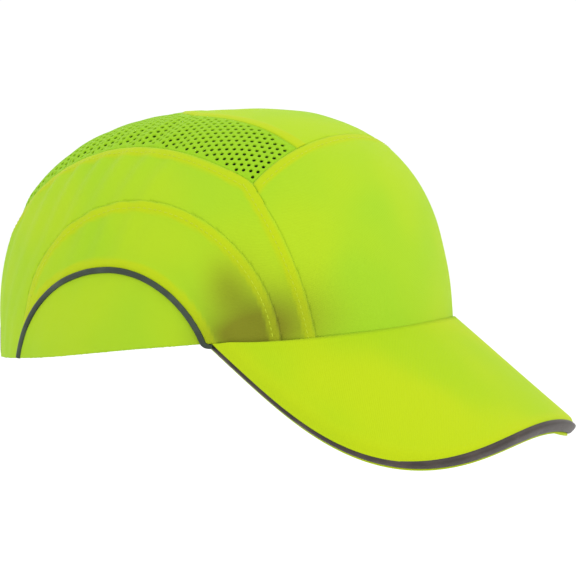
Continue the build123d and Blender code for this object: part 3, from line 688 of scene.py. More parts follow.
def relief(p, outward, doubled):
    """How far the cloth stands out, and how doubled it is. doubled are its seams with an allowance."""
    front = front_panel_zone(p, outward)
    top = top_seam(p, outward)
    ear = ear_zone(p, outward)
    behind = front < 0
    places = {
        "front": (front, True),
        "front_side": (front_side_seam(p, outward), behind & (top > -1)),
        "front_top": (front_top_seam(p, outward), ~behind),
        "top": (top, behind),
        "middle": (middle_seam(p, outward), behind & (ear < 0)),
        "tongue": (tongue_zone(p, outward), behind & (top < 0)),
        "ear": (ear, behind),
    }
    lines = {k: np.where(there, np.abs(away), FAR_OFF) for k, (away, there) in places.items()}
    width = setting("allowance")
    # Broad and finer waves, which lie flat beside the seams.
    height = 0.38 * swell(p, 34, 3) + 0.13 * swell(p, 12, 5)
    sewn_lines = ("front", "top", "middle", "tongue", "ear")
    nearest = np.min([lines[k] for k in sewn_lines], axis=0)
    height *= ramp(nearest, 0.5, 8.0) * 0.8 + 0.2
    # A groove at each seam, doubled cloth that stands up beside it, and small tucks along it.
    height -= 0.14 * np.exp(-((nearest / 0.8) ** 2))
    raised = np.zeros(len(p))
    for name in doubled:
        raised = np.maximum(raised, seam_edge(lines[name], width))
    height += 0.32 * raised
    tucks = swell(p, 4.6, 11) * np.exp(-nearest / 4.5)
    height += 0.17 * tucks * ramp(nearest, 0.8, 2.5)
    return height, raised, lines


def dip(p, y, z, long, tall):
    """A soft patch on the side of the crown: 1 at its middle, y and z, and 0 far from it."""
    return np.exp(-(((p[:, 1] - y) / long) ** 2 + ((p[:, 2] - z) / tall) ** 2))


def sunk_and_shaded(p):
    """Where the cloth sinks in above the peak's corner, 0 to 1; the same share sets the painted shade
    there.
    """
    sunk = dip(p, -66, 12, 17, 15) + 0.5 * dip(p, -51, 28, 9, 12) + 0.6 * dip(p, -53, 7, 13, 7)
    return np.minimum(sunk, 1) * ramp(np.abs(p[:, 0]), 25, 50)


def side_folds(p, lines):
    """Soft upright puckers under the top seam, and slanting folds near the peak's corner."""
    fade = np.exp(-lines["top"] / 24) * ramp(lines["top"], 1, 7) * ramp(p[:, 1], -30, 0)
    lower = 0.5 * dip(p, 14, 52, 24, 14) * ramp(lines["middle"], 1, 6) * ramp(lines["ear"], 1, 6)
    lean = p[:, 1] + 0.42 * p[:, 2] + 2.4 * swell(p, 30, 21)
    puckers = 1.05 * np.sin(2 * math.pi * lean / 12.5) * np.maximum(fade, lower)
    slant = (p[:, 1] + 56) * 0.8 - (p[:, 2] - 10) * 0.6 + 2.0 * swell(p, 22, 23)
    folds = 0.75 * np.sin(2 * math.pi * slant / 17) * dip(p, -54, 24, 17, 24)
    return puckers - 1.3 * sunk_and_shaded(p) + folds


# ------------------------------------------------------------------ making objects
def made_mesh(name, points, faces, stored=None, cloth=None):
    """A smooth mesh object from millimetre points, with stored numbers and cloth coordinates."""
    mesh = bpy.data.meshes.new(name)
    mesh.from_pydata((np.asarray(points) * MM).tolist(), [], faces)
    mesh.shade_smooth()
    for key, values in (stored or {}).items():
        layer = mesh.attributes.new(key, "FLOAT", "POINT")
        layer.data.foreach_set("value", np.asarray(values, np.float32))
    if cloth is not None:
        corners = np.zeros(len(mesh.loops), np.int32)
        mesh.loops.foreach_get("vertex_index", corners)
        layer = mesh.uv_layers.new(name="cloth")
        layer.data.foreach_set("uv", np.asarray(cloth, np.float32)[corners].reshape(-1))
    mesh.validate()
    made = bpy.data.objects.new(name, mesh)
    bpy.context.scene.collection.objects.link(made)
    return made


def dressed(obj, material, stands_for=()):
    """Gives a piece its material and slot, and lets it stand for its CAD nodes on the cap."""
    obj.data.materials.clear()
    obj.data.materials.append(material)
    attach(obj, "cap")
    if stands_for:
        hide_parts(*stands_for)
    return obj


def modified(obj, kind, **settings):
    """Adds a modifier with its settings."""
    modifier = obj.modifiers.new(kind.lower(), kind)
    for key, value in settings.items():
        setattr(modifier, key, value)
    return modifier


def thicken(obj, thickness, side=-1.0):
    """Gives a cloth its thickness, in millimetres."""
    modified(obj, "SOLIDIFY", thickness=thickness * MM, offset=side, use_even_offset=False)


def faces_of(cloth):
    """All faces of a cloth as lists."""
    return cloth.quads.tolist() + [list(p) for p in cloth.others]


def ring_faces(rings, sides, first=0):
    """Faces between rings of points that follow each other, and one at each end."""
    faces = []
    for low in range(first, first + (rings - 1) * sides, sides):
        for k in range(sides):
            n = (k + 1) % sides
            faces.append((low + k, low + n, low + sides + n, low + sides + k))
    last = first + rings * sides
    faces.append(tuple(range(first, first + sides)))
    faces.append(tuple(range(last - 1, last - sides - 1, -1)))
    return faces


def tube(name, line, outward, wide, tall, sides=14, square=1.0):
    """A bead along a line: wide across it, tall along outward, and flatter sided as square drops."""
    line = np.asarray(line)
    way = np.gradient(line, axis=0)
    way /= np.linalg.norm(way, axis=1, keepdims=True)
    up = outward - np.sum(outward * way, 1, keepdims=True) * way
    up /= np.linalg.norm(up, axis=1, keepdims=True)
    across = np.cross(way, up)
    turn = np.arange(sides) * 2 * math.pi / sides
    wide = np.broadcast_to(wide, len(line))[:, None, None]
    tall = np.broadcast_to(tall, len(line))[:, None, None]
    cosine = np.sign(np.cos(turn)) * np.abs(np.cos(turn)) ** square
    sine = np.sign(np.sin(turn)) * np.abs(np.sin(turn)) ** square
    ring = across[:, None] * wide * cosine[None, :, None]
    ring = ring + up[:, None] * tall * sine[None, :, None]
    points = (line[:, None] + ring).reshape(-1, 3)
    run = Table.run(line)
    cloth = np.stack([np.repeat(run, sides), np.tile(turn * 1.5, len(line))], -1)
    return made_mesh(name, points, ring_faces(len(line), sides), cloth=cloth)


shared = {}


def part(key, build):
    """A thing that several operators share, made once."""
    if key not in shared:
        shared[key] = build()
    return shared[key]


def crown():
    """The crown's formula."""
    return part("crown", Crown)


def table():
    """The crown's cloth coordinates."""
    return part("table", lambda: Table(crown(), setting("grid")))


def finish_of(key):
    """The finishes that several pieces share."""
    tint = bpy.context.scene.cap_colours
    recipes = {
        "twill": lambda: twill("yellow_twill", tint.textile, tint.seam),
        "peak": lambda: twill("peak_twill", tint.peak, tint.seam),
        "knit": lambda: knit("yellow_knit", tint.mesh, tint.seam),
        "piping": lambda: reflective("dark_reflective_piping", tint.piping),
        "peak_piping": lambda: reflective("peak_reflective_piping", (0.045, 0.034, 0.029)),
        "foam": lambda: foam("charcoal_foam", tint.foam),
        "shell": lambda: moulded("moulded_shell", tint.shell, 0.42, 0.8, 0.06),
        "towelling": lambda: towelling("black_towelling", (0.022, 0.022, 0.025)),
        "adjuster": lambda: moulded("adjuster_plastic", (0.024, 0.024, 0.026), 0.4, 0.5, 0.03),
        "strap": lambda: moulded("strap_plastic", (0.035, 0.035, 0.038), 0.38, 0.5, 0.03, 0.1),
        "acetal": lambda: moulded("natural_acetal", (0.62, 0.63, 0.60), 0.3, 0.6, 0.02, 0.2),
        "rubber": lambda: moulded("grip_rubber", (0.015, 0.015, 0.015), 0.7, 0.45, 0.08),
        "board": lambda: moulded("peak_board", (0.05, 0.05, 0.05), 0.6, 0.9, 0.04),
        "steel": lambda: plated("zinc_plated_steel", (0.62, 0.62, 0.63)),
        "webbing": lambda: webbing("woven_webbing", (0.022, 0.022, 0.025)),
        "thread": lambda: thread("yellow_thread", shade(tint.seam, 1.05)),
    }
    return part("finish " + key, recipes[key])


# ------------------------------------------------------------------ the sewn crown
def whole_skin():
    """The crown's cloth down to its rim and round the opening at the nape."""
    return part("skin", lambda: table().cloth().keep(above_rim).keep(arch_zone))


def sewn(name, cloth, doubled, finish, nodes):
    """One sewn panel: clipped cloth, raised by the common relief, with its thickness."""
    cloth = cloth.tidy()
    places, outward = cloth.rows[:, :3], cloth.rows[:, 3:6]
    height, raised, lines = relief(places, outward, doubled)
    height = height + side_folds(places, lines)
    points = places + outward * height[:, None]
    # Stored numbers: the doubled cloth beside the seams, and the painted shade where the cloth sinks in
    # above the peak's corner.
    stored = {"seam": raised, "sunk_and_shaded": 0.9 * sunk_and_shaded(places) * (1 - 0.35 * raised)}
    obj = made_mesh(name, points, faces_of(cloth), stored, cloth.rows[:, 6:8])
    thicken(obj, setting("cloth"), -1.0 if facing_out(obj, outward) else 1.0)
    return dressed(obj, finish_of(finish), nodes)


def facing_out(obj, outward):
    """True if the faces' own directions agree with the outward ones."""
    faces = list(obj.data.polygons)
    picked = faces[:: len(faces) // 400 + 1]
    return sum(face.normal.dot(Vector(outward[face.vertices[0]])) for face in picked) > 0


# Ways from the middle of a cell of the mesh to its corners and the middles of its sides.
CELL_WAYS = ((1, 0), (1, 1), (0, 1), (-1, 1), (-1, 0), (-1, -1), (0, -1), (1, -1))


def holed_cloth():
    """The crown as cloth with a round hole in every cell that is clear of the seams."""
    wide, long = setting("hole_pitch_across"), setting("hole_pitch_along")
    radius = setting("hole") / 2
    spare, seam_gap, blind = 6, 1.7, 0.7
    along, across, clear = mesh_cells(wide, long)
    wanted = clear > -spare
    along, across, holed = along[wanted], across[wanted], clear[wanted] > seam_gap
    ring = [math.radians(45.0 * k) for k in range(8)]
    index, spots, quads = {}, [], []

    def point(s, t):
        key = (round(s * 50), round(t * 50))
        if key not in index:
            index[key] = len(spots)
            spots.append((s, t))
        return index[key]

    for t, s, open_cell in zip(along.tolist(), across.tolist(), holed.tolist()):
        edge = [point(s + a * wide / 2, t + b * long / 2) for a, b in CELL_WAYS]
        size = radius if open_cell else radius * blind
        inner = [point(s + size * math.cos(a), t + size * math.sin(a)) for a in ring]
        for k in range(8):
            n = (k + 1) % 8
            quads.append((edge[k], edge[n], inner[n], inner[k]))
        if not open_cell:
            core = point(s, t)
            for k in range(0, 8, 2):
                quads.append((inner[k], inner[k + 1], inner[(k + 2) % 8], core))
    spots = np.array(spots)
    return Cloth(table().at(spots[:, 1], spots[:, 0]), np.array(quads))


def mesh_cells(wide, long):
    """Middles of the mesh's staggered cells, along and across, and how clear of seams they are."""
    half = 150
    first, last, columns = int(-table().top / long) + 1, int(half / long), int(half / wide)
    i, j = np.meshgrid(np.arange(first, last), np.arange(-columns, columns + 1), indexing="ij")
    i, j = i.reshape(-1), j.reshape(-1)
    along, across = i * long, (j + 0.5 * (i % 2)) * wide
    middle = table().at(along, across)
    places, outward = middle[:, :3], middle[:, 3:6]
    zones = (opposite(front_panel_zone), opposite(top_seam), opposite(tongue_zone), arch_zone, above_rim)
    return along, across, np.min([zone(places, outward) for zone in zones], axis=0)


def seam_points(circle, turn, side, offset=0.0):
    """Points and outward directions along a circular seam, moved sideways along the cloth."""
    plane, middle, radius = circle
    reach = np.full(len(turn), radius)
    for _ in range(2):
        a = middle[0] + reach * np.cos(turn)
        b = middle[1] + reach * np.sin(turn)
        if plane == SIDE:
            p = crown().side_point(a, b, side)
        else:
            p = crown().top_point(a, b)
        outward = outward_at(p)
        gradient = np.zeros_like(p)
        gradient[:, plane[0]] = np.cos(turn)
        gradient[:, plane[1]] = np.sin(turn)
        lean = np.sum(gradient * outward, -1)
        reach = radius + offset * np.sqrt(np.clip(1 - lean**2, LEAST_SLANT, 1))
    return p, outward


def outward_at(p):
    """The crown's outward direction at points."""
    gradient = np.zeros_like(p)
    for k in range(3):
        step = np.zeros(3)
        step[k] = 0.05
        gradient[:, k] = crown().beyond(p + step) - crown().beyond(p - step)
    return gradient / np.maximum(np.linalg.norm(gradient, axis=1, keepdims=True), 1e-9)


def lifted(p, outward, doubled, extra=0.0):
    """Points moved onto the cloth's relief."""
    height, _, lines = relief(p, outward, doubled)
    return p + outward * (height + side_folds(p, lines) + extra)[:, None]


def ear_line(side):
    """The seam over the ear from the nape's side to the peak's corner."""
    rear, rear_out = seam_points(EAR_REAR_CIRCLE, spread(8, 90, 150), side)
    front, front_out = seam_points(EAR_FRONT_CIRCLE, spread(90, 172, 110), side)
    p = np.concatenate([rear, front[1:]])
    outward = np.concatenate([rear_out, front_out[1:]])
    inside = p[:, 2] > rim_height(p) - 1.0
    return p[inside], outward[inside]


def spread(start, end, count):
    """Angles from start to end, given in degrees."""
    return np.radians(np.linspace(start, end, count))


def stitches(name, runs, finish):
    """Rows of short stitches that lie on the cloth, as one object."""
    pitch = setting("stitch")
    radius, half, arch, depth = 0.2, pitch * 0.36, 0.10, 0.08
    steps = [(-1.0, 0.25), (-0.8, 0.8), (0.0, 1.0), (0.8, 0.8), (1.0, 0.25)]
    points, faces = [], []
    for line, outward in runs:
        run = Table.run(line)
        for at in np.arange(pitch, run[-1] - pitch, pitch):
            here = np.array([np.interp(at, run, line[:, k]) for k in range(3)])
            ahead = np.array([np.interp(at + 0.8, run, line[:, k]) for k in range(3)])
            up = np.array([np.interp(at, run, outward[:, k]) for k in range(3)])
            way = (ahead - here) / np.linalg.norm(ahead - here)
            across = np.cross(way, up)
            first = len(points)
            for share, size in steps:
                middle = here + way * share * half + up * (arch * (1 - share * share) - depth)
                for k in range(6):
                    turn = k * math.pi / 3
                    ring = across * math.cos(turn) + up * math.sin(turn)
                    points.append(middle + ring * radius * size)
            faces += ring_faces(len(steps), 6, first)
    return dressed(made_mesh(name, points, faces), finish_of(finish))


def stitch_run(circle, turn, side, offset, doubled, zone):
    """One row of stitches beside a circular seam, where zone is above 0."""
    p, outward = seam_points(circle, turn, side, offset)
    keep = zone(p, outward) > 0
    edges = np.flatnonzero(np.diff(np.concatenate([[0], keep.astype(int), [0]])))
    runs = []
    for start, end in zip(edges[::2], edges[1::2]):
        if end - start > 6:
            runs.append((lifted(p[start:end], outward[start:end], doubled), outward[start:end]))
    return runs


# ------------------------------------------------------------------ the peak
# The covers' rows run from the edge towards this line, under the crown.
PEAK_AIM = -66.0
PEAK_STEPS = 420


def peak_point(x, reach, depth):
    """A point of the peak: x across, reach forwards along the slope, depth below its top."""
    x, reach, depth = np.broadcast_arrays(x, reach, depth)
    turn = np.arcsin(np.clip(x / PEAK_RADIUS, -1, 1))
    radius = PEAK_RADIUS - depth
    up = radius * np.cos(turn) - PEAK_RADIUS
    y = -crown().front - reach * math.cos(PEAK_SLOPE) - up * math.sin(PEAK_SLOPE)
    z = PEAK_ROOT_HEIGHT - reach * math.sin(PEAK_SLOPE) + up * math.cos(PEAK_SLOPE)
    return np.stack([radius * np.sin(turn), y, z], -1)


def peak_up(x):
    """The direction out of the peak's top at x."""
    turn = np.arcsin(np.clip(x / PEAK_RADIUS, -1, 1))
    up = np.cos(turn)
    return np.stack([np.sin(turn), -up * math.sin(PEAK_SLOPE), up * math.cos(PEAK_SLOPE)], -1)


def peak_edge(count, margin=0.0):
    """The peak's outline, from the wearer's right corner to the left one, evenly spaced."""
    turn = np.linspace(0, math.pi, 4000)
    power = 2 / PEAK_POWER
    x = -(PEAK_HALF_WIDTH - margin) * np.sign(np.cos(turn)) * np.abs(np.cos(turn)) ** power
    reach = PEAK_START + (PEAK_LENGTH - margin) * np.sin(turn).clip(0, 1) ** power
    run = Table.run(np.stack([x, reach], -1))
    wanted = np.linspace(0, run[-1], count)
    return np.interp(wanted, run, x), np.interp(wanted, run, reach)


def peak_sheet(name, depth_at, root_depth, margin, turned):
    """A cover of the peak from its edge to the crown; depth_at gives its depth at an edge distance."""
    count, rows = 460, 64
    x, reach = peak_edge(count, margin)
    edge = np.stack([x, reach], -1)
    aim = np.stack([x * 0.5, np.full(count, PEAK_AIM)], -1)

    def within(share):
        spot = edge + (aim - edge) * share[:, None]
        return crown().beyond(peak_point(spot[:, 0], spot[:, 1], root_depth)) < 0

    _, far = halved(np.zeros(count), np.ones(count), within)
    steps = np.linspace(0, 1, rows) ** 1.9
    share = np.minimum(far + 0.004, 1)[:, None] * steps[None, :]
    spots = edge[:, None] + (aim - edge)[:, None] * share[..., None]
    along_edge = unit(np.gradient(edge, axis=0))
    inwards = unit(aim - edge)
    square = np.abs(along_edge[:, 0] * inwards[:, 1] - along_edge[:, 1] * inwards[:, 0])
    distance = np.linalg.norm(spots - edge[:, None], axis=-1) * square[:, None]
    points = peak_point(spots[..., 0], spots[..., 1], depth_at(distance))
    soft = swell(points.reshape(-1, 3), 46, 31).reshape(points.shape[:2])
    points = points + peak_up(spots[..., 0]) * (0.16 * soft * ramp(distance, 2, 14))[..., None]
    faces = []
    for i in range(count - 1):
        for j in range(rows - 1):
            quad = (i * rows + j, i * rows + j + 1, (i + 1) * rows + j + 1, (i + 1) * rows + j)
            faces.append(quad if turned else quad[::-1])
    doubled = 0.6 * (1 - ramp(distance, 2.5, 7.5))
    stored = {"seam": doubled.reshape(-1)}
    return made_mesh(name, points.reshape(-1, 3), faces, stored, spots.reshape(-1, 2))


def unit(ways):
    """Directions of length 1."""
    return ways / np.linalg.norm(ways, axis=1, keepdims=True)


def peak_cord(name, margin, depth, wide, tall):
    """A flat-sided bead along the peak's edge, slimmer towards its corners."""
    x, reach = peak_edge(PEAK_STEPS, margin)
    share = np.linspace(0, 1, PEAK_STEPS)
    full = 0.45 + 0.55 * ramp(np.minimum(share, 1 - share), 0.10, 0.48)
    line = peak_point(x, reach, depth + tall * (1 - full) * 0.5)
    return tube(name, line, peak_up(x), wide, tall * full, 22, 0.6)


# ------------------------------------------------------------------ CAD pieces that stay
def cad(node, finish, bevel=0.0, segments=2):
    """A CAD piece that is shown as it is, with a finish and slightly rounded edges."""
    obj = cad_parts[node]
    obj.data.materials.clear()
    obj.data.materials.append(finish_of(finish))
    if bevel:
        modified(
            obj,
            "BEVEL",
            width=bevel * MM,
            segments=segments,
            limit_method="ANGLE",
            angle_limit=math.radians(35),
            use_clamp_overlap=True,
            harden_normals=False,
        )
    return obj


def apply_modifiers(obj):
    """Turns an object's modifiers into its mesh."""
    graph = bpy.context.evaluated_depsgraph_get()
    mesh = bpy.data.meshes.new_from_object(obj.evaluated_get(graph))
    obj.modifiers.clear()
    old = obj.data
    obj.data = mesh
    bpy.data.meshes.remove(old)
    mesh.shade_smooth()


def puffed(node, finish, voxel, swelling=0.35):
    """A foam piece in its cover: the CAD shape, remeshed and blown up gently as cloth."""
    obj = bpy.data.objects.new(node + "_soft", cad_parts[node].data.copy())
    bpy.context.scene.collection.objects.link(obj)
    modified(obj, "REMESH", mode="VOXEL", voxel_size=voxel * MM)
    modified(obj, "SMOOTH", factor=0.5, iterations=3)
    apply_modifiers(obj)
    blow_up(obj, swelling)
    modified(obj, "SUBSURF", levels=1, render_levels=1)
    apply_modifiers(obj)
    dressed(obj, finish_of(finish), (node,))
    return obj


# How the covers of the foam pieces behave in their simulation, and how long it runs.
COVER = {
    "quality": 5,
    "mass": 0.2,
    "tension_stiffness": 40,
    "compression_stiffness": 40,
    "bending_stiffness": 4,
    "use_pressure": True,
    "uniform_pressure_force": 4.0,
}
COVER_FRAMES = 20


def blow_up(obj, limit):
    """Runs the cloth simulation, then holds every point within limit millimetres of its start."""
    scene = bpy.context.scene
    before = np.zeros(len(obj.data.vertices) * 3)
    obj.data.vertices.foreach_get("co", before)
    cloth = modified(obj, "CLOTH")
    for key, value in COVER.items():
        setattr(cloth.settings, key, value)
    cloth.settings.effector_weights.gravity = 0
    cloth.collision_settings.use_collision = False
    cloth.point_cache.frame_start = 1
    cloth.point_cache.frame_end = COVER_FRAMES
    for frame_number in range(1, COVER_FRAMES + 1):
        scene.frame_set(frame_number)
    apply_modifiers(obj)
    scene.frame_set(1)
    after = np.zeros_like(before)
    obj.data.vertices.foreach_get("co", after)
    move = (after - before).reshape(-1, 3)
    size = np.linalg.norm(move, axis=1, keepdims=True)
    kept = limit * MM * np.tanh(size / (limit * MM))
    move = move / np.maximum(size, 1e-12) * kept
    obj.data.vertices.foreach_set("co", (before.reshape(-1, 3) + move).reshape(-1))
    obj.data.update()


# ------------------------------------------------------------------ operators
# The seams whose allowance lies on each panel, and how far beside a seam its stitches run.
FRONT_DOUBLED = ("front_top",)
UPPER_DOUBLED = ("top", "front_side")
MIDDLE_DOUBLED = ("middle", "ear")
TONGUE_DOUBLED = ("tongue",)
STITCH_MARGIN = 3.6


class CAP_OT_front_panel(bpy.types.Operator):
    """Sews the front panel with its doubled edge"""

    bl_idname = "cap.front_panel"
    bl_label = "Front Panel"

    def execute(self, context):
        cloth = whole_skin().keep(front_panel_zone)
        sewn("front_panel_cloth", cloth, FRONT_DOUBLED, "twill", ("front_panel",))
        return {"FINISHED"}


class CAP_OT_side_panels(bpy.types.Operator):
    """Sews the upper, middle and ear panels of both sides"""

    bl_idname = "cap.side_panels"
    bl_label = "Side Panels"

    def execute(self, context):
        behind = whole_skin().keep(opposite(front_panel_zone)).keep(top_seam)
        for side, word in ((1, "left"), (-1, "right")):
            half = behind.keep(on_side(side))
            above = half.keep(opposite(ear_zone))
            zones = {
                "upper_side_panel": (above.keep(opposite(middle_seam)), UPPER_DOUBLED),
                "middle_side_panel": (above.keep(middle_seam), MIDDLE_DOUBLED),
                "ear_panel": (half.keep(ear_zone), ()),
            }
            for name, (cloth, doubled) in zones.items():
                node = f"{name}_{word}"
                sewn(node + "_cloth", cloth, doubled, "twill", (node,))
        return {"FINISHED"}


class CAP_OT_crown(bpy.types.Operator):
    """Knits the perforated crown and sews the plain patch in front of it"""

    bl_idname = "cap.crown"
    bl_label = "Mesh Crown"

    def execute(self, context):
        top = whole_skin().keep(opposite(front_panel_zone)).keep(opposite(top_seam))
        patch = top.keep(tongue_zone)
        sewn("crown_tongue_cloth", patch, TONGUE_DOUBLED, "twill", ("crown_tongue",))
        mesh = holed_cloth()
        for zone in (above_rim, arch_zone):
            mesh = mesh.keep(zone)
        for zone in (front_panel_zone, top_seam, tongue_zone):
            mesh = mesh.keep(opposite(zone))
        sewn("mesh_crown_knit", mesh, (), "knit", ("mesh_crown",))
        return {"FINISHED"}


class CAP_OT_pipings(bpy.types.Operator):
    """Adds the piping over the ears and the bound edge at the nape"""

    bl_idname = "cap.pipings"
    bl_label = "Pipings"

    def execute(self, context):
        radius = setting("piping")
        for side, word in ((1, "left"), (-1, "right")):
            p, outward = ear_line(side)
            line = lifted(p, outward, ("ear",), 0.25)
            line, outward = self.to_peak(line, outward, side)
            share = np.linspace(0, 1, len(line))
            tall = radius * (1 - 0.3 * ramp(share, 0.93, 1.0))
            name = f"ear_piping_{word}"
            obj = tube(name + "_cord", line, outward, tall * 1.05, tall)
            dressed(obj, finish_of("piping"), (name,))
        turn = spread(0, 180, 320)
        x, z = ARCH_HALF * np.cos(turn), ARCH_FOOT + ARCH_HEIGHT * np.sin(turn)
        line = self.back_points(x * 1.035, z + 1.3 * np.sin(turn))
        line = line[line[:, 2] > rim_height(line) - 0.5]
        obj = tube("rear_arch_binding_edge", line, outward_at(line), 1.9, 1.25, 16)
        dressed(obj, finish_of("piping"), ("rear_arch_binding",))
        cad("rim_tape", "piping", 0.15)
        return {"FINISHED"}

    @staticmethod
    def to_peak(line, outward, side):
        """Leads the piping's front end into the peak's corner."""
        # The corner is near the end of the peak's bead; the cord bends into it in one curve.
        bead = peak_point(*peak_edge(PEAK_STEPS, 0.9), 2.2)
        corner = bead[-6 if side > 0 else 5] + np.array([side * 0.9, 0, 0.2])
        nearest = int(np.argmin(np.linalg.norm(line - corner, axis=1)))
        last = max(int(len(line) * 0.8), nearest - 3)
        start, way = line[last], line[last] - line[last - 3]
        way = way / np.linalg.norm(way)
        bend = start + way * np.linalg.norm(corner - start) * 0.5
        share = np.linspace(0, 1, 14)[1:, None]
        curve = start * (1 - share) ** 2 + 2 * bend * share * (1 - share) + corner * share**2
        line = np.concatenate([line[: last + 1], curve])
        outward = np.concatenate([outward[: last + 1], np.repeat(outward[[last]], len(curve), 0)])
        return line, outward

    @staticmethod
    def back_points(x, z):
        """Points of the crown's back at x and z."""
        wide, middle, long = crown().level(z)
        y = middle + long * np.sqrt(np.clip(1 - (x / wide) ** 2, 0, 1))
        return np.stack([x, y, z], -1)


class CAP_OT_stitching(bpy.types.Operator):
    """Adds the topstitching beside the seams"""

    bl_idname = "cap.stitching"
    bl_label = "Topstitching"

    def execute(self, context):
        upper = self.clear(lambda p, o: np.minimum(top_seam(p, o), front_side_seam(p, o)))
        middle = self.clear(
            lambda p, o: np.min([middle_seam(p, o), -ear_zone(p, o), -front_panel_zone(p, o)], axis=0)
        )
        rows = (
            (FRONT_SIDE_CIRCLE, spread(180, 90, 700), UPPER_DOUBLED, upper),
            (TOP_CIRCLE, spread(0, 180, 900), UPPER_DOUBLED, upper),
            (MIDDLE_CIRCLE, spread(-5, 180, 500), MIDDLE_DOUBLED, middle),
        )
        runs = []
        for side in (1, -1):
            for circle, turn, doubled, zone in rows:
                runs += stitch_run(circle, turn, side, -STITCH_MARGIN, doubled, zone)
        brow = self.clear(front_panel_zone)
        runs += stitch_run(BROW_CIRCLE, spread(247, 293, 300), 1, STITCH_MARGIN, FRONT_DOUBLED, brow)
        stitches("topstitching", runs, "thread")
        return {"FINISHED"}

    @staticmethod
    def clear(zone):
        """The zone without its margins, above the rim and clear of the opening at the nape."""
        return lambda p, outward: np.min(
            [zone(p, outward) - 1.5, above_rim(p, outward) - 1.5, arch_zone(p, outward) - 3], axis=0
        )


class CAP_OT_peak(bpy.types.Operator):
    """Covers the peak above and below and pipes its edge"""

    bl_idname = "cap.peak"
    bl_label = "Peak"

    def execute(self, context):
        top = peak_sheet("peak_top_cloth", self.top_depth, 0.0, 1.0, True)
        thicken(top, 0.8)
        dressed(top, finish_of("peak"), ("peak_top_cover",))
        under = peak_sheet("peak_under_cloth", self.under_depth, PEAK_THICKNESS, 0.7, False)
        thicken(under, 0.8)
        dressed(under, finish_of("peak"), ("peak_under_cover",))
        cord = peak_cord("peak_piping_cord", 1.3, 2.65, 1.6, 2.75)
        dressed(cord, finish_of("peak_piping"), ("peak_piping",))
        cad("peak_board", "board", 0.2)
        return {"FINISHED"}

    @staticmethod
    def top_depth(distance):
        """Depth of the upper cover below the peak's top at a distance from the edge."""
        return 1.9 * (1 - ramp(distance, 0.0, 4.6)) ** 2

    @staticmethod
    def under_depth(distance):
        """Depth of the lower cover below the peak's top at a distance from the edge."""
        return PEAK_THICKNESS + 1.8 * (1 - ramp(distance, 1.4, 6.0)) - 0.5 * np.exp(-distance / 0.5)


class CAP_OT_inside(bpy.types.Operator):
    """Fits the shell, the foam pads and the towelling sweatband"""

    bl_idname = "cap.inside"
    bl_label = "Shell and Pads"

    def execute(self, context):
        cad("shell", "shell", 0.35)
        cad("shell_rivets", "shell", 0.2)
        for node in ("front_pad", "side_pad_left", "side_pad_right", "rear_pad_left", "rear_pad_right"):
            puffed(node, "foam", 1.7)
        puffed("crown_pad", "foam", 1.9)
        puffed("nape_pad", "foam", 1.5, swelling=0.2)
        puffed("sweatband", "towelling", 1.5, swelling=0.2)
        return {"FINISHED"}


class CAP_OT_adjuster(bpy.types.Operator):
    """Finishes the size adjuster: housing, pinion, knob, straps, keepers and hanger"""

    bl_idname = "cap.adjuster"
    bl_label = "Adjuster"

    # Each node's finish, the rounding of its edges in millimetres and, for one, its steps.
    FINISHES = {
        "adjuster_base": ("adjuster", 0.3),
        "adjuster_cover": ("adjuster", 0.3),
        "strap_keeper_left": ("adjuster", 0.3),
        "strap_keeper_right": ("adjuster", 0.3),
        "adjuster_pinion": ("acetal", 0.12),
        "adjuster_knob": ("adjuster", 0.35),
        "knob_grip": ("rubber", 0.4, 3),
        "click_spring": ("acetal", 0.1),
        "knob_screw": ("steel", 0.15),
        "housing_screws": ("steel", 0.15),
        "strap_left": ("strap", 0.2),
        "strap_right": ("strap", 0.2),
        "nape_hanger": ("webbing", 0.25),
    }

    def execute(self, context):
        for node, finish in self.FINISHES.items():
            cad(node, *finish)
        return {"FINISHED"}


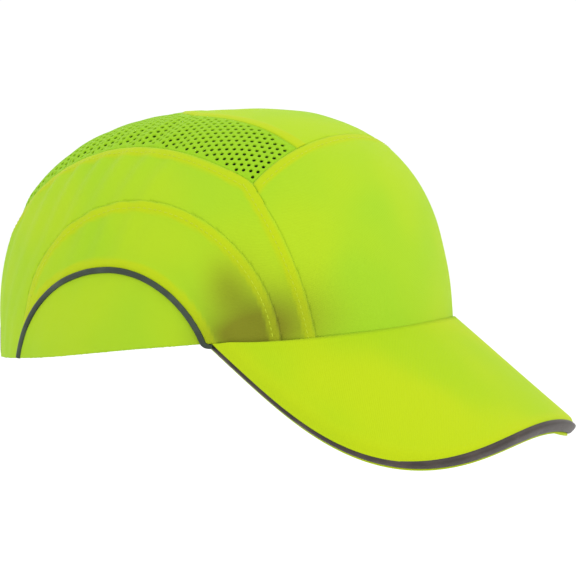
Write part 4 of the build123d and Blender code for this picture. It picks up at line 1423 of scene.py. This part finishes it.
class CAP_OT_stage(bpy.types.Operator):
    """Lays the pale floor and sets up the soft lights and the camera"""

    bl_idname = "cap.stage"
    bl_label = "Stage"

    # Each light's place, what it is aimed at, its size in metres and its power in watts.
    LIGHTS = {
        "key": ((-0.2, -1.3, 1.5), (0, -0.02, 0.03), 1.3, 8.0),
        "fill": ((-1.5, -0.2, 0.7), (0, 0, 0.03), 1.6, 1.0),
        "rim": ((0.9, 1.2, 1.3), (0, 0, 0.05), 1.2, 4.0),
    }
    # The camera's turn, rise and roll in degrees, its distance in metres, and its aim, right and up.
    ANGLES = (-54.69, 5.0, 1.364)
    DISTANCE = 0.9342
    AIM = (25.85, 20.89)

    def execute(self, context):
        scene = context.scene
        scene.view_settings.view_transform = "Standard"
        scene.view_settings.look = "None"
        world = bpy.data.worlds.new("studio")
        world.use_nodes = True
        sky = world.node_tree.nodes["Background"]
        sky.inputs["Color"].default_value = (1, 1, 1, 1)
        sky.inputs["Strength"].default_value = 1.04
        scene.world = world
        self.floor()
        for name, light in self.LIGHTS.items():
            self.light(name, *light)
        self.camera(scene)
        return {"FINISHED"}

    @staticmethod
    def floor():
        """A large pale floor under the cap."""
        mesh = bpy.data.meshes.new("floor")
        corners = [(-9, -9, 0), (9, -9, 0), (9, 9, 0), (-9, 9, 0)]
        mesh.from_pydata(corners, [], [(0, 1, 2, 3)])
        floor = bpy.data.objects.new("floor", mesh)
        floor.location = (0, 0, -0.16)
        bpy.context.scene.collection.objects.link(floor)
        recipe = Recipe("pale_floor", Roughness=0.95, Specular_IOR_Level=0.1)
        recipe.surface.inputs["Base Color"].default_value = (0.985, 0.985, 0.985, 1)
        floor.data.materials.append(recipe.material)

    @staticmethod
    def light(name, place, aim, size, power):
        """A soft square light."""
        data = bpy.data.lights.new(name, "AREA")
        data.size = size
        data.energy = power
        obj = bpy.data.objects.new(name, data)
        obj.location = place
        obj.rotation_mode = "QUATERNION"
        obj.rotation_quaternion = (Vector(aim) - Vector(place)).to_track_quat("-Z", "Y")
        bpy.context.scene.collection.objects.link(obj)

    def camera(self, scene):
        """Looks at the cap from its front right, a little from above."""
        turn, rise, roll = (math.radians(angle) for angle in self.ANGLES)
        back = Vector(
            (math.sin(turn) * math.cos(rise), -math.cos(turn) * math.cos(rise), math.sin(rise))
        )
        right = Vector((math.cos(turn), math.sin(turn), 0))
        up = back.cross(right)
        data = bpy.data.cameras.new("camera")
        data.lens = 128
        data.sensor_width = 36
        camera = bpy.data.objects.new("camera", data)
        camera.location = back * self.DISTANCE
        aim = (right * self.AIM[0] + up * self.AIM[1]) * MM
        camera.rotation_mode = "QUATERNION"
        look = (aim - camera.location).to_track_quat("-Z", "Y")
        camera.rotation_quaternion = look @ Quaternion((0, 0, 1), -roll)
        bpy.context.scene.collection.objects.link(camera)
        scene.camera = camera


class CAP_PT_sidebar(bpy.types.Panel):
    """Buttons for each of the cap's groups"""

    bl_idname = "CAP_PT_sidebar"
    bl_label = "Bump Cap"
    bl_space_type = "VIEW_3D"
    bl_region_type = "UI"
    bl_category = "Bump Cap"

    def draw(self, context):
        column = self.layout.column()
        for step in STEPS:
            column.operator(step.bl_idname)
        for settings in (context.scene.cap_cut, context.scene.cap_colours):
            column.separator()
            for name in settings.bl_rna.properties.keys():
                if name not in ("rna_type", "name"):
                    column.prop(settings, name)


STEPS = (
    CAP_OT_front_panel,
    CAP_OT_side_panels,
    CAP_OT_crown,
    CAP_OT_pipings,
    CAP_OT_stitching,
    CAP_OT_peak,
    CAP_OT_inside,
    CAP_OT_adjuster,
    CAP_OT_stage,
)
CLASSES = (CapCut, CapColours, *STEPS, CAP_PT_sidebar)


def register():
    """Adds the classes and the scene's settings."""
    for kind in CLASSES:
        bpy.utils.register_class(kind)
    bpy.types.Scene.cap_cut = PointerProperty(type=CapCut)
    bpy.types.Scene.cap_colours = PointerProperty(type=CapColours)


def unregister():
    """Removes the settings and the classes."""
    del bpy.types.Scene.cap_colours
    del bpy.types.Scene.cap_cut
    for kind in reversed(CLASSES):
        bpy.utils.unregister_class(kind)


def main():
    """Builds the whole cap."""
    register()
    for step in STEPS:
        call = getattr(bpy.ops.cap, step.bl_idname.split(".")[1])
        if call() != {"FINISHED"}:
            raise RuntimeError(f"{step.bl_label} didn't finish")


if __name__ == "__main__":
    main()
